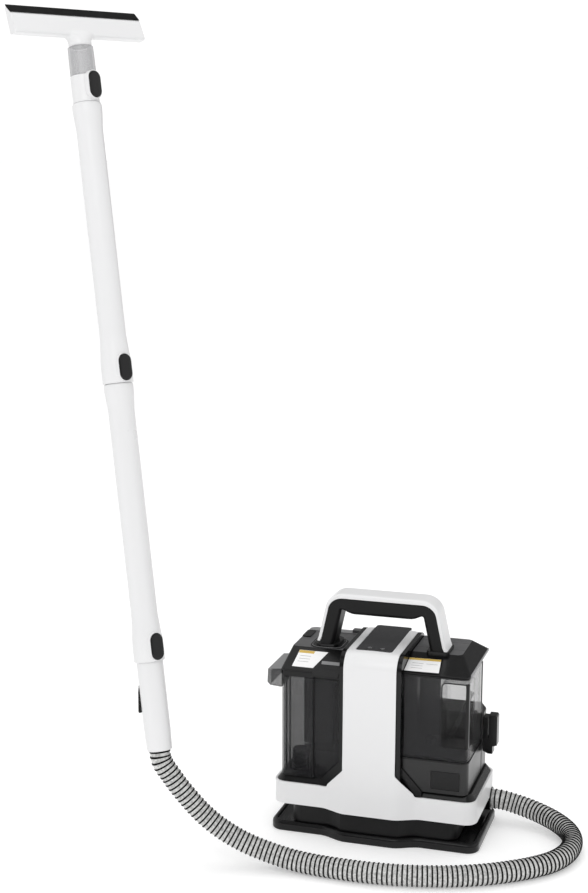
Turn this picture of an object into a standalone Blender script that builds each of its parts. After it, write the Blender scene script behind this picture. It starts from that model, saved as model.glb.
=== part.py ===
"""Spot extractor: a two-tank spray-and-suck cleaning machine with its hose and standing wand.

Metres, +Z up.  The front faces -Y, the clean tank is on +X.  The origin is the middle of the
machine's underside, on the surface that it stands on.
"""

import math

import bmesh
import bpy
from mathutils import Matrix, Vector

# ---------------------------------------------------------------- driving dimensions
GAP = 0.0003
WALL = 0.0025

# White body: a low band round the foot and a hoop over the middle.
BAND_HALF_WIDTH = 0.1675
BAND_FRONT = -0.078
BAND_BACK = 0.0885
BAND_LOW = 0.047
BAND_TOP = 0.084
BAND_CORNER = 0.020
SHELL = 0.003
PILLAR_X = -0.003
PILLAR_HALF = 0.043
BULGE = 0.015
BULGE_HALF = 0.072
CHAMFER_RISE = 0.036
HOOP_TOP = 0.316
HOOP_BACK = 0.084
HOOP_CORNER = 0.028

# Black foot tray and the plinth on it.
TRAY_HALF_WIDTH = 0.172
TRAY_FRONT = -0.080
TRAY_BACK = 0.092
TRAY_TOP = 0.016
TRAY_CORNER = 0.020
PLINTH_HALF_WIDTH = 0.138
FOOT_RADIUS = 0.011
FOOT_HEIGHT = 0.003

# Bays and tanks.
UPPER_HALF_WIDTH = 0.154
SPINE_HALF = 0.0505
BAY_FLOOR_TOP = 0.094
LEFT_TANK_TOP = 0.262
LEFT_DECK_LOW = 0.273
LEFT_DECK_TOP = 0.299
HOUSING_TOP = 0.1485
RIGHT_TANK_LOW = 0.1495
RIGHT_TANK_TOP = 0.2835
RIGHT_DECK_LOW = 0.2875
RIGHT_DECK_TOP = 0.305
TANK_FRONT = -0.076
TANK_BACK = 0.082
CLEAN_BACK = 0.034
GRIP_LOW = 0.172
GRIP_HIGH = 0.277
GRIP_LEFT = 0.110
GRIP_BACK = -0.030
TANK_CORNER = 0.012

# Carry handle: an arch across the machine.
ARCH_X = -0.002
ARCH_HALF_DEPTH = 0.022
ARCH_FOOT = 0.306
ARCH_TOP = 0.387
ARCH_SKIN = 0.0045
ARCH_GRIP = 0.0275

# Hose and wand.
HOSE_RADIUS = 0.0165
HOSE_BORE = 0.0125
HOSE_STEP = 0.033
CONNECTOR_IN = 0.122
CONNECTOR_WALL = 0.0025
HOSE_EXIT = Vector((0.1690, 0.063, 0.0385))
WAND_END = Vector((-0.2955, -0.2476, 0.1835))
WAND_AXIS = Vector((-0.1640, 0.1431, 0.9760)).normalized()
WAND_FACE = Vector((-0.2907, 0.9385, -0.1864))
HANDLE_TOP = 0.1385
LOWER_TOP = 0.5695
UPPER_TOP = 1.0045
COUPLER_TOP = 1.0470
NECK_TOP = 1.0915
HEAD_LOW = 1.1080
TUBE_RADIUS = 0.0205
SOCKET_RADIUS = 0.0240
COLLAR_RADIUS = 0.0228
BORE_RADIUS = 0.0150
SPIGOT_RADIUS = 0.0177
SPIGOT_LENGTH = 0.025
BUTTON_ANGLE = 38
NECK_BUTTON_ANGLE = 45
BUTTON_HALF_LENGTH = 0.0205
BUTTON_HALF_WIDTH = 0.0108
BUTTON_MARGIN = 0.0020
BUTTON_HEIGHT = 0.0230
NECK_BUTTON_HEIGHT = 0.0245
TRIGGER_ANGLE = -100
HEAD_TURN = 36
HEAD_HALF_WIDTH = 0.1135
HEAD_LEAN = 0.20

# The hose's middle line, from the machine's side to the wand's foot.  Both ends run straight
# for HOSE_LEAD before the smooth curve through these points takes over.
HOSE_LEAD = 0.008
HOSE_ROUTE = (
    (0.2145, 0.0640, 0.0320),
    (0.2515, 0.0535, 0.0260),
    (0.2830, 0.0320, 0.0225),
    (0.3055, 0.0025, 0.0205),
    (0.3145, -0.0305, 0.0190),
    (0.3110, -0.0660, 0.0175),
    (0.2950, -0.1010, 0.0167),
    (0.2690, -0.1305, 0.0166),
    (0.2390, -0.1545, 0.0166),
    (0.2070, -0.1750, 0.0166),
    (0.1735, -0.1915, 0.0166),
    (0.1375, -0.2045, 0.0166),
    (0.1005, -0.2140, 0.0166),
    (0.0635, -0.2205, 0.0166),
    (0.0255, -0.2240, 0.0166),
    (-0.0125, -0.2245, 0.0166),
    (-0.0505, -0.2230, 0.0168),
    (-0.0890, -0.2225, 0.0200),
    (-0.1270, -0.2250, 0.0288),
    (-0.1630, -0.2300, 0.0420),
    (-0.1965, -0.2345, 0.0600),
    (-0.2265, -0.2385, 0.0830),
    (-0.2525, -0.2425, 0.1110),
    (-0.2760, -0.2465, 0.1420),
)

# ---------------------------------------------------------------- finishes
FINISHES = {
    "white_plastic": ((0.86, 0.86, 0.86), 0.32, 0.0),
    "black_plastic": ((0.012, 0.012, 0.013), 0.30, 0.0),
    "black_matte": ((0.020, 0.020, 0.021), 0.55, 0.0),
    "panel_glass": ((0.05, 0.05, 0.055), 0.12, 0.0),
    "smoked_clear": ((0.06, 0.06, 0.065), 0.08, 0.0),
    "clear_plastic": ((0.72, 0.73, 0.74), 0.10, 0.0),
    "rubber": ((0.025, 0.025, 0.025), 0.80, 0.0),
    "hose_grey": ((0.62, 0.62, 0.61), 0.40, 0.0),
    "steel": ((0.60, 0.60, 0.61), 0.30, 1.0),
    "green_board": ((0.03, 0.16, 0.07), 0.50, 0.0),
}


def finish(name):
    """The material of that name, made the first time it is asked for."""
    material = bpy.data.materials.get(name)
    if material:
        return material
    colour, roughness, metallic = FINISHES[name]
    material = bpy.data.materials.new(name)
    material.use_nodes = True
    shader = material.node_tree.nodes["Principled BSDF"]
    shader.inputs["Base Color"].default_value = (*colour, 1.0)
    shader.inputs["Roughness"].default_value = roughness
    shader.inputs["Metallic"].default_value = metallic
    return material


# ---------------------------------------------------------------- making solids
def add_object(name, bm, look, frame=None, smooth=False):
    """Turn a bmesh, drawn in the coordinates of frame, into a named object."""
    bmesh.ops.remove_doubles(bm, verts=bm.verts, dist=1e-7)
    bmesh.ops.recalc_face_normals(bm, faces=bm.faces)
    mesh = bpy.data.meshes.new(name)
    bm.to_mesh(mesh)
    bm.free()
    if smooth:
        mesh.shade_smooth()
        mesh.set_sharp_from_angle(angle=math.radians(35))
    mesh.materials.append(finish(look))
    obj = bpy.data.objects.new(name, mesh)
    bpy.context.scene.collection.objects.link(obj)
    if frame is not None:
        obj.matrix_world = frame
    return obj


def loft(name, rings, look, closed_tube=False, frame=None, smooth=False):
    """Join rings of equal point count in order, capping both ends unless they close on themselves."""
    bm = bmesh.new()
    loops = [[bm.verts.new(point) for point in ring] for ring in rings]
    count = len(loops[0])
    pairs = list(zip(loops, loops[1:]))
    if closed_tube:
        pairs.append((loops[-1], loops[0]))
    for low, high in pairs:
        for i in range(count):
            j = (i + 1) % count
            bm.faces.new((low[i], low[j], high[j], high[i]))
    if not closed_tube:
        bm.faces.new(loops[0])
        bm.faces.new(loops[-1])
    return add_object(name, bm, look, frame, smooth)


def at_height(outline, z):
    """Lift a plan outline to a height, or to a height that depends on the point."""
    return [(x, y, z(x, y) if callable(z) else z) for x, y in outline]


def prism(name, outline, low, high, look, frame=None):
    """A plan outline raised from low to high."""
    return loft(name, [at_height(outline, low), at_height(outline, high)], look, frame=frame)


def side_prism(name, outline, low, high, look, axis="X", frame=None):
    """An outline in the plane across axis, pulled along it: (y, z) for X, (x, z) for Y."""
    if axis == "X":
        rings = [[(end, a, b) for a, b in outline] for end in (low, high)]
    else:
        rings = [[(a, end, b) for a, b in outline] for end in (low, high)]
    return loft(name, rings, look, frame=frame)


def box(name, low, high, look, frame=None):
    """A box between two corners."""
    outline = [(low[0], low[1]), (high[0], low[1]), (high[0], high[1]), (low[0], high[1])]
    return prism(name, outline, low[2], high[2], look, frame)


def ring_wall(name, outline, wall, low, high, look):
    """An open upright tube with the plan outline outside and an even wall."""
    inner = inset(outline, wall)
    rings = [
        at_height(outline, low),
        at_height(outline, high),
        at_height(inner, high),
        at_height(inner, low),
    ]
    return loft(name, rings, look, closed_tube=True)


def tub(name, outline, wall, floor, low, high, look):
    """A container open at the top."""
    inner = inset(outline, wall)
    rings = [
        at_height(outline, low),
        at_height(outline, high),
        at_height(inner, high),
        at_height(inner, low + floor),
    ]
    return loft(name, rings, look)


def lathe(name, profile, look, frame=None, steps=24, hollow=True):
    """Turn (radius, height) points about Z.  A hollow profile closes on itself round a bore."""
    rings = []
    for radius, height in profile:
        ring = []
        for i in range(steps):
            turn = 2 * math.pi * i / steps
            ring.append((radius * math.cos(turn), radius * math.sin(turn), height))
        rings.append(ring)
    return loft(name, rings, look, closed_tube=hollow, frame=frame, smooth=True)


def combine(target, other, operation):
    """Apply one solid to another and keep the second only as a wire guide."""
    modifier = target.modifiers.new(operation.lower(), "BOOLEAN")
    modifier.operation = operation
    modifier.object = other
    modifier.solver = "EXACT"
    other.hide_render = True
    other.display_type = "WIRE"


def cut(target, cutter):
    """Take the cutter out of the target."""
    combine(target, cutter, "DIFFERENCE")


def join(target, other):
    """Fuse the second solid into the target."""
    combine(target, other, "UNION")


# ---------------------------------------------------------------- outlines
def rounded(x0, x1, y0, y1, radii, steps=4):
    """Rectangle with rounded corners: radii are front-left, front-right, back-right, back-left."""
    if not isinstance(radii, tuple):
        radii = (radii,) * 4
    corners = (
        (x0, y0, 1, 1, 180),
        (x1, y0, -1, 1, 270),
        (x1, y1, -1, -1, 0),
        (x0, y1, 1, -1, 90),
    )
    points = []
    for (x, y, sx, sy, start), radius in zip(corners, radii):
        if radius < 1e-6:
            points.append((x, y))
            continue
        for i in range(steps + 1):
            turn = math.radians(start + 90 * i / steps)
            points.append(
                (x + sx * radius + radius * math.cos(turn), y + sy * radius + radius * math.sin(turn))
            )
    return points


def inset(outline, distance):
    """Move each side of an anticlockwise outline inwards by the same distance."""
    points = [Vector(p) for p in outline]
    moved = []
    for i, point in enumerate(points):
        before = (point - points[i - 1]).normalized()
        after = (points[(i + 1) % len(points)] - point).normalized()
        normal_before = Vector((-before.y, before.x))
        normal_after = Vector((-after.y, after.x))
        mitre = (normal_before + normal_after) / (1 + normal_before.dot(normal_after))
        moved.append(tuple(point + mitre * distance))
    return moved


def bulge_at(x):
    """How far the front stands out at x: full in the middle, fading to nothing each side."""
    share = (BULGE_HALF - abs(x - PILLAR_X)) / 0.030
    share = min(max(share, 0.0), 1.0)
    return BULGE * share * share * (3 - 2 * share)


def footprint(half_width, front, back, corner, stand_out=1.0):
    """Plan of the band or tray: a rounded rectangle whose front edge swells in the middle."""
    plain = rounded(-half_width, half_width, front, back, corner)
    corner_points = 5
    swell = []
    for i in range(13):
        x = PILLAR_X - BULGE_HALF + 2 * BULGE_HALF * i / 12
        swell.append((x, front - stand_out * bulge_at(x)))
    return plain[:corner_points] + swell + plain[corner_points:]


def band_top(x, y):
    """Top edge of the white band: it climbs in a chamfer to meet the pillar, front only."""
    if y > 0:
        return BAND_TOP
    share = (PILLAR_HALF + 0.033 - abs(x - PILLAR_X)) / 0.033
    return BAND_TOP + CHAMFER_RISE * min(max(share, 0.0), 1.0)


def arc(centre, radius, start, end, steps=5):
    """Points of a circular arc, angles in degrees."""
    points = []
    for i in range(steps + 1):
        turn = math.radians(start + (end - start) * i / steps)
        points.append((centre[0] + radius * math.cos(turn), centre[1] + radius * math.sin(turn)))
    return points


def stadium(half_length, radius, steps=6):
    """Outline with straight sides and round ends, long in its second coordinate."""
    straight = half_length - radius
    return arc((0, straight), radius, 0, 180, steps) + arc((0, -straight), radius, 180, 360, steps)


# ---------------------------------------------------------------- machine: foot and shell
def foot_tray():
    """Black tray under everything, with a pocket for each rubber foot."""
    plan = footprint(TRAY_HALF_WIDTH, TRAY_FRONT, TRAY_BACK, TRAY_CORNER)
    lower = TRAY_TOP - 0.004
    rings = [
        at_height(inset(plan, 0.0015), 0.0),
        at_height(plan, 0.0025),
        at_height(plan, lower),
        at_height(inset(plan, 0.0035), TRAY_TOP),
    ]
    tray = loft("base_tray", rings, "black_plastic")
    for index, (sx, sy) in enumerate(((-1, -1), (1, -1), (1, 1), (-1, 1)), start=1):
        place = Matrix.Translation((sx * 0.145, 0.006 + sy * 0.062, 0.0))
        pocket_profile = [(FOOT_RADIUS + GAP, -0.002), (FOOT_RADIUS + GAP, FOOT_HEIGHT + GAP)]
        pocket = lathe(f"foot_pocket_{index}", pocket_profile, "rubber", place, 20, hollow=False)
        cut(tray, pocket)
        profile = [(FOOT_RADIUS - 0.001, 0.0), (FOOT_RADIUS, 0.001), (FOOT_RADIUS, FOOT_HEIGHT)]
        lathe(f"rubber_foot_{index}", profile, "rubber", place, 20, hollow=False)


def plinth():
    """Black step between the tray and the white band, cut away where the hose leaves."""
    front = footprint(PLINTH_HALF_WIDTH, BAND_FRONT + 0.006, BAND_BACK - 0.004, 0.018)
    block = ring_wall("base_plinth", front, 0.004, TRAY_TOP + GAP, BAND_LOW - GAP, "black_matte")
    cut(block, hose_way("plinth_hose_way"))


def sideways(x, y, z):
    """Frame at a point whose local Z runs along +X."""
    return Matrix.Translation((x, y, z)) @ Matrix.Rotation(math.radians(90), 4, "Y")


def hose_way(name):
    """Round clearance for the hose connector, along X through the right side."""
    radius = HOSE_RADIUS + CONNECTOR_WALL + GAP
    frame = sideways(CONNECTOR_IN - 0.012, HOSE_EXIT.y, HOSE_EXIT.z)
    return lathe(name, [(radius, 0.0), (radius, 0.080)], "black_matte", frame, 24, hollow=False)


def hose_connector():
    """Black collar in the machine's right side that the hose plugs on to."""
    outer = HOSE_RADIUS + CONNECTOR_WALL
    length = HOSE_EXIT.x - CONNECTOR_IN
    profile = [(outer, 0.0), (outer, length), (HOSE_BORE, length), (HOSE_BORE, 0.0)]
    frame = sideways(CONNECTOR_IN, HOSE_EXIT.y, HOSE_EXIT.z)
    lathe("hose_connector", profile, "black_plastic", frame, 24)


def body_shell():
    """White band with a floor, fused with the white hoop that runs up, over and down the back."""
    plan = footprint(BAND_HALF_WIDTH, BAND_FRONT, BAND_BACK, BAND_CORNER)
    shell = tub("body_shell", plan, SHELL, SHELL, BAND_LOW, band_top, "white_plastic")
    outer = hoop_profile(0.0)
    inner = hoop_profile(SHELL)
    x0 = PILLAR_X - PILLAR_HALF
    x1 = PILLAR_X + PILLAR_HALF
    crown = 0.0015
    rings = []
    for share in (0.0, 0.06, 0.5, 0.94, 1.0):
        x = x0 + (x1 - x0) * share
        drop = crown * (2 * share - 1) ** 2 + (0.0012 if share in (0.0, 1.0) else 0.0)
        middle = Vector((0.0, 0.2))
        ring = []
        for y, z in outer:
            back = Vector((y, z)) - middle
            ring.append((x, y - drop * (1 if back.x > 0 else -1), z - (drop if z > 0.30 else 0.0)))
        ring += [(x, y, z) for y, z in reversed(inner)]
        rings.append(ring)
    hoop = loft("hoop", rings, "white_plastic")
    join(shell, hoop)
    cut(shell, hose_way("band_hose_way"))
    window = box("panel_window", (-0.0335, -0.067, 0.30), (0.0265, 0.078, 0.33), "white_plastic")
    cut(shell, window)
    return shell


def hoop_profile(depth):
    """Side view of the hoop, at a depth below its outer face, from front foot to back foot."""
    front = BAND_FRONT - BULGE + depth
    top = HOOP_TOP - depth
    back = HOOP_BACK - depth
    radius = HOOP_CORNER - depth
    low = BAND_LOW + 0.0005
    points = [(front, low)]
    points += arc((front + radius, top - radius), radius, 180, 90, 6)
    points += arc((back - radius, top - radius), radius, 90, 0, 6)
    points.append((back, BAND_LOW + 0.02))
    return points


def spine():
    """Black upright duct between the bays that carries the decks and holds the motor."""
    x0 = PILLAR_X - SPINE_HALF
    x1 = PILLAR_X + SPINE_HALF
    plan = rounded(x0, x1, BAND_FRONT - BULGE + 0.0085, HOOP_BACK - SHELL - 0.003, 0.004, 2)
    ring_wall("chassis_spine", plan, WALL, BAND_LOW + SHELL + GAP, 0.294, "black_plastic")


def bay_floor(name, x0, x1, left_corner, right_corner):
    """Black chamfered floor that a tank or the pump housing stands on."""
    front = BAND_FRONT + SHELL + GAP
    back = BAND_BACK - SHELL - GAP
    plan = rounded(x0, x1, front, back, (left_corner, right_corner, right_corner, left_corner))
    rings = [
        at_height(plan, BAND_LOW + SHELL + GAP),
        at_height(plan, BAND_TOP + 0.001),
        at_height(inset(plan, 0.007), BAY_FLOOR_TOP),
    ]
    return loft(name, rings, "black_plastic")


def bays():
    """Both bay floors."""
    inner = BAND_HALF_WIDTH - SHELL - GAP
    left = bay_floor("left_bay_floor", -inner, PILLAR_X - SPINE_HALF - GAP, BAND_CORNER - SHELL, 0.0)
    right = bay_floor("right_bay_floor", PILLAR_X + SPINE_HALF + GAP, inner, 0.0, BAND_CORNER - SHELL)
    relief = box("left_floor_relief", (-0.140, -0.060, 0.045), (-0.070, 0.070, 0.080), "black_plastic")
    cut(left, relief)
    cut(right, hose_way("floor_hose_way"))


# ---------------------------------------------------------------- machine: decks, handle, panel
def deck(name, low_plan, top_plan, low, skirt, top, look):
    """Top cover with a short skirt and sloping sides."""
    rings = [at_height(low_plan, low), at_height(low_plan, low + skirt), at_height(top_plan, top)]
    return loft(name, rings, look)


def decks():
    """Left cover, lower than the right one."""
    left_in = PILLAR_X - SPINE_HALF - GAP
    right_in = PILLAR_X + SPINE_HALF + GAP
    edge = UPPER_HALF_WIDTH
    deck(
        "left_deck",
        rounded(-edge, left_in, BAND_FRONT, BAND_BACK, (0.006, 0.0, 0.0, 0.010), 2),
        rounded(-0.149, left_in, -0.029, 0.080, (0.006, 0.0, 0.0, 0.010), 2),
        LEFT_DECK_LOW,
        0.002,
        LEFT_DECK_TOP,
        "black_plastic",
    )
    deck(
        "right_deck",
        rounded(right_in, edge, BAND_FRONT, BAND_BACK, (0.0, 0.006, 0.006, 0.0), 2),
        rounded(right_in, 0.130, -0.017, 0.073, (0.0, 0.004, 0.004, 0.0), 2),
        RIGHT_DECK_LOW,
        0.002,
        RIGHT_DECK_TOP,
        "black_plastic",
    )


def arch(offset):
    """Front view of the carry handle, its outline moved inwards by offset."""
    foot = 0.108 - offset
    shoulder = 0.094 - offset
    top = ARCH_TOP - offset
    corner = max(0.030 - offset * 0.75, 0.010)
    rise = top - corner
    right = [(foot, ARCH_FOOT), (shoulder, rise)]
    right += arc((shoulder - corner, rise), corner, 0, 90, 6)[1:]
    left = [(-x, z) for x, z in reversed(right)]
    return [(x + ARCH_X, z) for x, z in right + left]


def carry_handle():
    """White outer skin over a black grip, standing on both decks."""
    skin_in = ARCH_SKIN
    skin = arch(0.0) + list(reversed(arch(skin_in)))
    side_prism("handle_shell", skin, -ARCH_HALF_DEPTH, ARCH_HALF_DEPTH, "white_plastic", axis="Y")
    grip = arch(skin_in + GAP) + list(reversed(arch(skin_in + ARCH_GRIP)))
    half = ARCH_HALF_DEPTH + 0.001
    side_prism("handle_grip", grip, -half, half, "black_matte", axis="Y")
    x = ARCH_X - 0.0915
    plan = rounded(x - 0.0195, x + 0.0195, -0.024, 0.026, 0.012, 3)
    prism("handle_pedestal", plan, LEFT_DECK_TOP + GAP, ARCH_FOOT - GAP, "black_matte")


def control_panel():
    """Dark window let into the hoop's top, with two press keys."""
    low = HOOP_TOP - SHELL - 0.0005
    top = HOOP_TOP - 0.0018
    plate = box("control_panel", (-0.0332, -0.0667, low), (0.0262, 0.0777, top), "panel_glass")
    for name, x in (("power_key", -0.014), ("mode_key", 0.007)):
        half = Vector((0.007, 0.006, 0.0))
        centre = Vector((x, -0.048, top))
        reach = half + Vector((0.0, 0.0, 0.01))
        hole = box(f"{name}_hole", centre - reach, centre + reach, "panel_glass")
        cut(plate, hole)
        small = half - Vector((GAP, GAP, 0.0))
        frame = Matrix.Translation(centre)
        box(name, -small - Vector((0, 0, 0.0016)), small + Vector((0, 0, 0.0004)), "panel_glass", frame)


def side_hook():
    """Black hook on the right rear for hanging accessories."""
    outline = [
        (0.1545, 0.124),
        (0.1715, 0.124),
        (0.1715, 0.137),
        (0.1780, 0.137),
        (0.1780, 0.186),
        (0.1760, 0.188),
        (0.1690, 0.190),
        (0.1690, 0.145),
        (0.1625, 0.145),
        (0.1625, 0.152),
        (0.1545, 0.152),
    ]
    side_prism("side_hook", outline, 0.043, 0.060, "black_plastic", axis="Y")


# ---------------------------------------------------------------- machine: right side
def pump_housing():
    """Black housing under the clean tank, with a shallow access lid and a raised rear part."""
    x0 = PILLAR_X + SPINE_HALF + GAP
    x1 = UPPER_HALF_WIDTH - 0.0005
    plan = rounded(x0, x1, TANK_FRONT, CLEAN_BACK + 0.003, (0.0, TANK_CORNER, 0.002, 0.0))
    housing = prism("pump_housing", plan, BAY_FLOOR_TOP + GAP, HOUSING_TOP, "black_plastic")
    low = (x0 + WALL, -0.066, 0.09)
    high = (0.142, 0.030, HOUSING_TOP - WALL)
    cut(housing, box("pump_housing_hollow", low, high, "black_plastic"))
    lid_low = Vector((0.0948, TANK_FRONT + GAP, 0.1013))
    lid_high = Vector((0.1402, TANK_FRONT + GAP + 0.001, 0.1307))
    room = Vector((GAP, 0.0, GAP))
    front = Vector((0.0, 0.002, 0.0))
    cut(housing, box("lid_seat", lid_low - room - front, lid_high + room + front * 0.15, "black_plastic"))
    box("pump_access_lid", lid_low, lid_high, "black_plastic")
    rear_front = CLEAN_BACK + 0.003 + GAP
    rear_plan = rounded(x0, UPPER_HALF_WIDTH, rear_front, BAND_BACK - 0.007, (0.0, 0.0, 0.010, 0.0), 3)
    floor = at_height(rear_plan, BAY_FLOOR_TOP + GAP)
    top = at_height(rear_plan, lambda x, y: 0.197 if x < 0.145 else 0.190)
    loft("rear_housing", [floor, top], "black_plastic")


def clean_tank():
    """Smoked tank with a hand recess at its front right corner, its lid, cap, valve and grip bar."""
    x0 = PILLAR_X + SPINE_HALF + 2 * GAP
    x1 = UPPER_HALF_WIDTH - 0.0005
    plan = rounded(x0, x1, TANK_FRONT, CLEAN_BACK, (0.0, TANK_CORNER, 0.004, 0.0), 3)
    tank = prism("clean_tank", plan, RIGHT_TANK_LOW, RIGHT_TANK_TOP, "smoked_clear")
    recess_plan = rounded(GRIP_LEFT, 0.17, -0.10, GRIP_BACK, (0.0, 0.0, 0.0, 0.012), 3)
    recess = prism("grip_recess", recess_plan, GRIP_LOW, GRIP_HIGH, "smoked_clear")
    inside = inset(plan, WALL)
    cavity = prism("tank_cavity", inside, RIGHT_TANK_LOW + WALL, RIGHT_TANK_TOP + 0.01, "smoked_clear")
    jacket_plan = rounded(GRIP_LEFT - WALL, 0.18, -0.11, GRIP_BACK + WALL, (0.0, 0.0, 0.0, 0.0145), 3)
    jacket = prism("grip_jacket", jacket_plan, GRIP_LOW - WALL, RIGHT_TANK_TOP + 0.02, "smoked_clear")
    cut(cavity, jacket)
    cut(tank, cavity)
    cut(tank, recess)
    hole = arc((0.080, -0.010), 0.0083, 0, 345, 15)
    cut(tank, prism("valve_hole", hole, 0.14, 0.155, "smoked_clear"))
    lid = prism("clean_tank_lid", plan, RIGHT_TANK_TOP + GAP, RIGHT_TANK_TOP + 0.0030, "black_plastic")
    mouth = arc((0.078, -0.012), 0.0163, 0, 348, 19)
    cut(lid, prism("fill_mouth", mouth, 0.27, 0.30, "black_plastic"))
    cap_frame = Matrix.Translation((0.078, -0.012, RIGHT_TANK_TOP))
    cap = [(0.0160, -0.0020), (0.0160, 0.0028), (0.0140, 0.0034)]
    lathe("fill_cap", cap, "black_matte", cap_frame, 20, hollow=False)
    post = rounded(0.1480, 0.1533, TANK_FRONT + 0.0006, TANK_FRONT + 0.0095, (0.0, 0.004, 0.0, 0.0), 3)
    prism("corner_grip", post, GRIP_LOW + GAP, GRIP_HIGH - GAP, "black_plastic")
    valve_frame = Matrix.Translation((0.080, -0.010, RIGHT_TANK_LOW))
    lathe(
        "outlet_valve",
        [(0.0080, 0.0003), (0.0080, 0.0105), (0.0035, 0.0105), (0.0035, 0.0003)],
        "black_matte",
        valve_frame,
        16,
    )
    stem = [(0.0030, 0.0003), (0.0030, 0.0108), (0.0060, 0.0108), (0.0060, 0.0130)]
    lathe("valve_plunger", stem, "rubber", valve_frame, 12, hollow=False)


# ---------------------------------------------------------------- machine: left side
def dirty_tank():
    """Smoked recovery tank with a stepped front, its lid, pull ledge, inlet duct, float and strainer."""
    x0 = -UPPER_HALF_WIDTH
    x1 = PILLAR_X - SPINE_HALF - 2 * GAP
    step_x = -0.1005
    plan = [
        (x0 + 0.004, TANK_FRONT + 0.003),
        (step_x, TANK_FRONT + 0.003),
        (step_x + 0.002, TANK_FRONT + 0.006),
        (x1, TANK_FRONT + 0.006),
        (x1, TANK_BACK),
        (x0 + 0.012, TANK_BACK),
        (x0 + 0.003, TANK_BACK - 0.004),
        (x0, TANK_BACK - 0.012),
        (x0, TANK_FRONT + 0.007),
    ]
    low = BAY_FLOOR_TOP + GAP
    tub("dirty_tank", plan, WALL, WALL, low, LEFT_TANK_TOP, "smoked_clear")
    lid = prism("dirty_tank_lid", plan, LEFT_TANK_TOP + GAP, LEFT_DECK_LOW - 0.0015, "black_plastic")
    duct_x0 = -0.126
    duct_x1 = -0.074
    way = box("lid_duct_way", (duct_x0 + 0.004, -0.02, 0.25), (duct_x1 - 0.004, 0.03, 0.28), "black_plastic")
    cut(lid, way)
    ledge = [(-0.1545, 0.2725), (-0.1775, 0.2700), (-0.1785, 0.2480), (-0.1740, 0.2430), (-0.1545, 0.2415)]
    ledge = [(x - GAP, z) for x, z in ledge]
    grip = side_prism("tank_ledge", ledge, -0.0695, 0.0150, "smoked_clear", axis="Y")
    finger_way = box("ledge_finger_way", (-0.1745, -0.064, 0.235), (-0.1570, 0.010, 0.266), "smoked_clear")
    cut(grip, finger_way)
    plan_duct = rounded(duct_x0, duct_x1, -0.045, 0.035, 0.006, 2)
    ring_wall("inlet_duct", plan_duct, 0.002, 0.142, LEFT_TANK_TOP, "black_matte")
    cage_frame = Matrix.Translation((-0.140, 0.055, 0.0))
    cage_top = LEFT_TANK_TOP
    cage_low = 0.188
    cage_floor = cage_low + 0.0025
    cage = [(0.0100, cage_low), (0.0100, cage_top), (0.0085, cage_top)]
    cage += [(0.0085, cage_floor), (0.0040, cage_floor), (0.0040, cage_low)]
    lathe("float_cage", cage, "black_matte", cage_frame, 16)
    ball = [(0.0030, 0.1910), (0.0072, 0.1955), (0.0078, 0.2030), (0.0072, 0.2105), (0.0030, 0.2150)]
    lathe("float", ball, "white_plastic", cage_frame, 16, hollow=False)
    strainer_frame = Matrix.Translation((-0.128, -0.052, 0.0))
    strainer = []
    for i in range(6):
        z = 0.100 + i * 0.006
        strainer += [(0.0130, z), (0.0130, z + 0.003), (0.0105, z + 0.003), (0.0105, z + 0.006)]
    lathe("strainer", strainer, "black_matte", strainer_frame, 16, hollow=False)


# ---------------------------------------------------------------- machine: inside the spine
def drive():
    """Suction motor, its fan and housing, the water pump, the circuit board and the cord inlet."""
    frame = Matrix.Translation((PILLAR_X, 0.0, 0.0))
    shaft = 0.0040
    bearing = shaft + 0.0002
    can = [(0.034, 0.150), (0.034, 0.205), (bearing, 0.205), (bearing, 0.150)]
    lathe("motor_can", can, "steel", frame)
    lathe(
        "fan_housing",
        [(0.045, 0.208), (0.045, 0.236), (0.043, 0.236), (0.043, 0.210), (0.014, 0.210), (0.014, 0.208)],
        "black_matte",
        frame,
    )
    fan = [(shaft, 0.152), (shaft, 0.2125), (0.0400, 0.2125), (0.0400, 0.2145)]
    fan += [(0.0120, 0.2300), (shaft, 0.2300)]
    lathe("fan_impeller", fan, "black_matte", frame, 24, hollow=False)
    silencer = [(0.042, 0.056), (0.042, 0.146), (0.036, 0.146), (0.036, 0.056)]
    lathe("exhaust_silencer", silencer, "black_matte", frame)
    box("circuit_board", (-0.040, 0.0630, 0.240), (0.034, 0.0646, 0.290), "green_board")
    pump = [(0.0180, 0.0), (0.0180, 0.045), (0.0120, 0.045), (0.0120, 0.058)]
    lathe("water_pump", pump, "black_matte", sideways(0.070, -0.030, 0.120), 20, hollow=False)
    rearwards = Matrix.Rotation(math.radians(-90), 4, "X")
    inlet = Matrix.Translation((-0.100, BAND_BACK + GAP, 0.066)) @ rearwards
    gland = [(0.0110, 0.0), (0.0110, 0.004), (0.0065, 0.010), (0.0035, 0.010), (0.0035, 0.0)]
    lathe("cord_inlet", gland, "black_matte", inlet, 20)


# ---------------------------------------------------------------- hose
def hose():
    """Corrugated hose drawn plain: one tube on a smooth line through the route's points."""
    start = HOSE_EXIT + Vector((GAP, 0.0, 0.0))
    end = WAND_END - WAND_AXIS * GAP
    knots = [start + Vector((HOSE_LEAD, 0.0, 0.0))]
    knots += [Vector(point) for point in HOSE_ROUTE]
    knots.append(end - WAND_AXIS * HOSE_LEAD)
    line = [start, *smooth_line(knots, HOSE_STEP), end]
    curve = bpy.data.curves.new("vacuum_hose", "CURVE")
    curve.dimensions = "3D"
    curve.bevel_depth = HOSE_RADIUS
    curve.bevel_resolution = 2
    curve.use_fill_caps = True
    spline = curve.splines.new("POLY")
    spline.points.add(len(line) - 1)
    for slot, point in zip(spline.points, line):
        slot.co = (*point, 1.0)
    curve.materials.append(finish("hose_grey"))
    tube = bpy.data.objects.new("vacuum_hose", curve)
    bpy.context.scene.collection.objects.link(tube)


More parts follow.
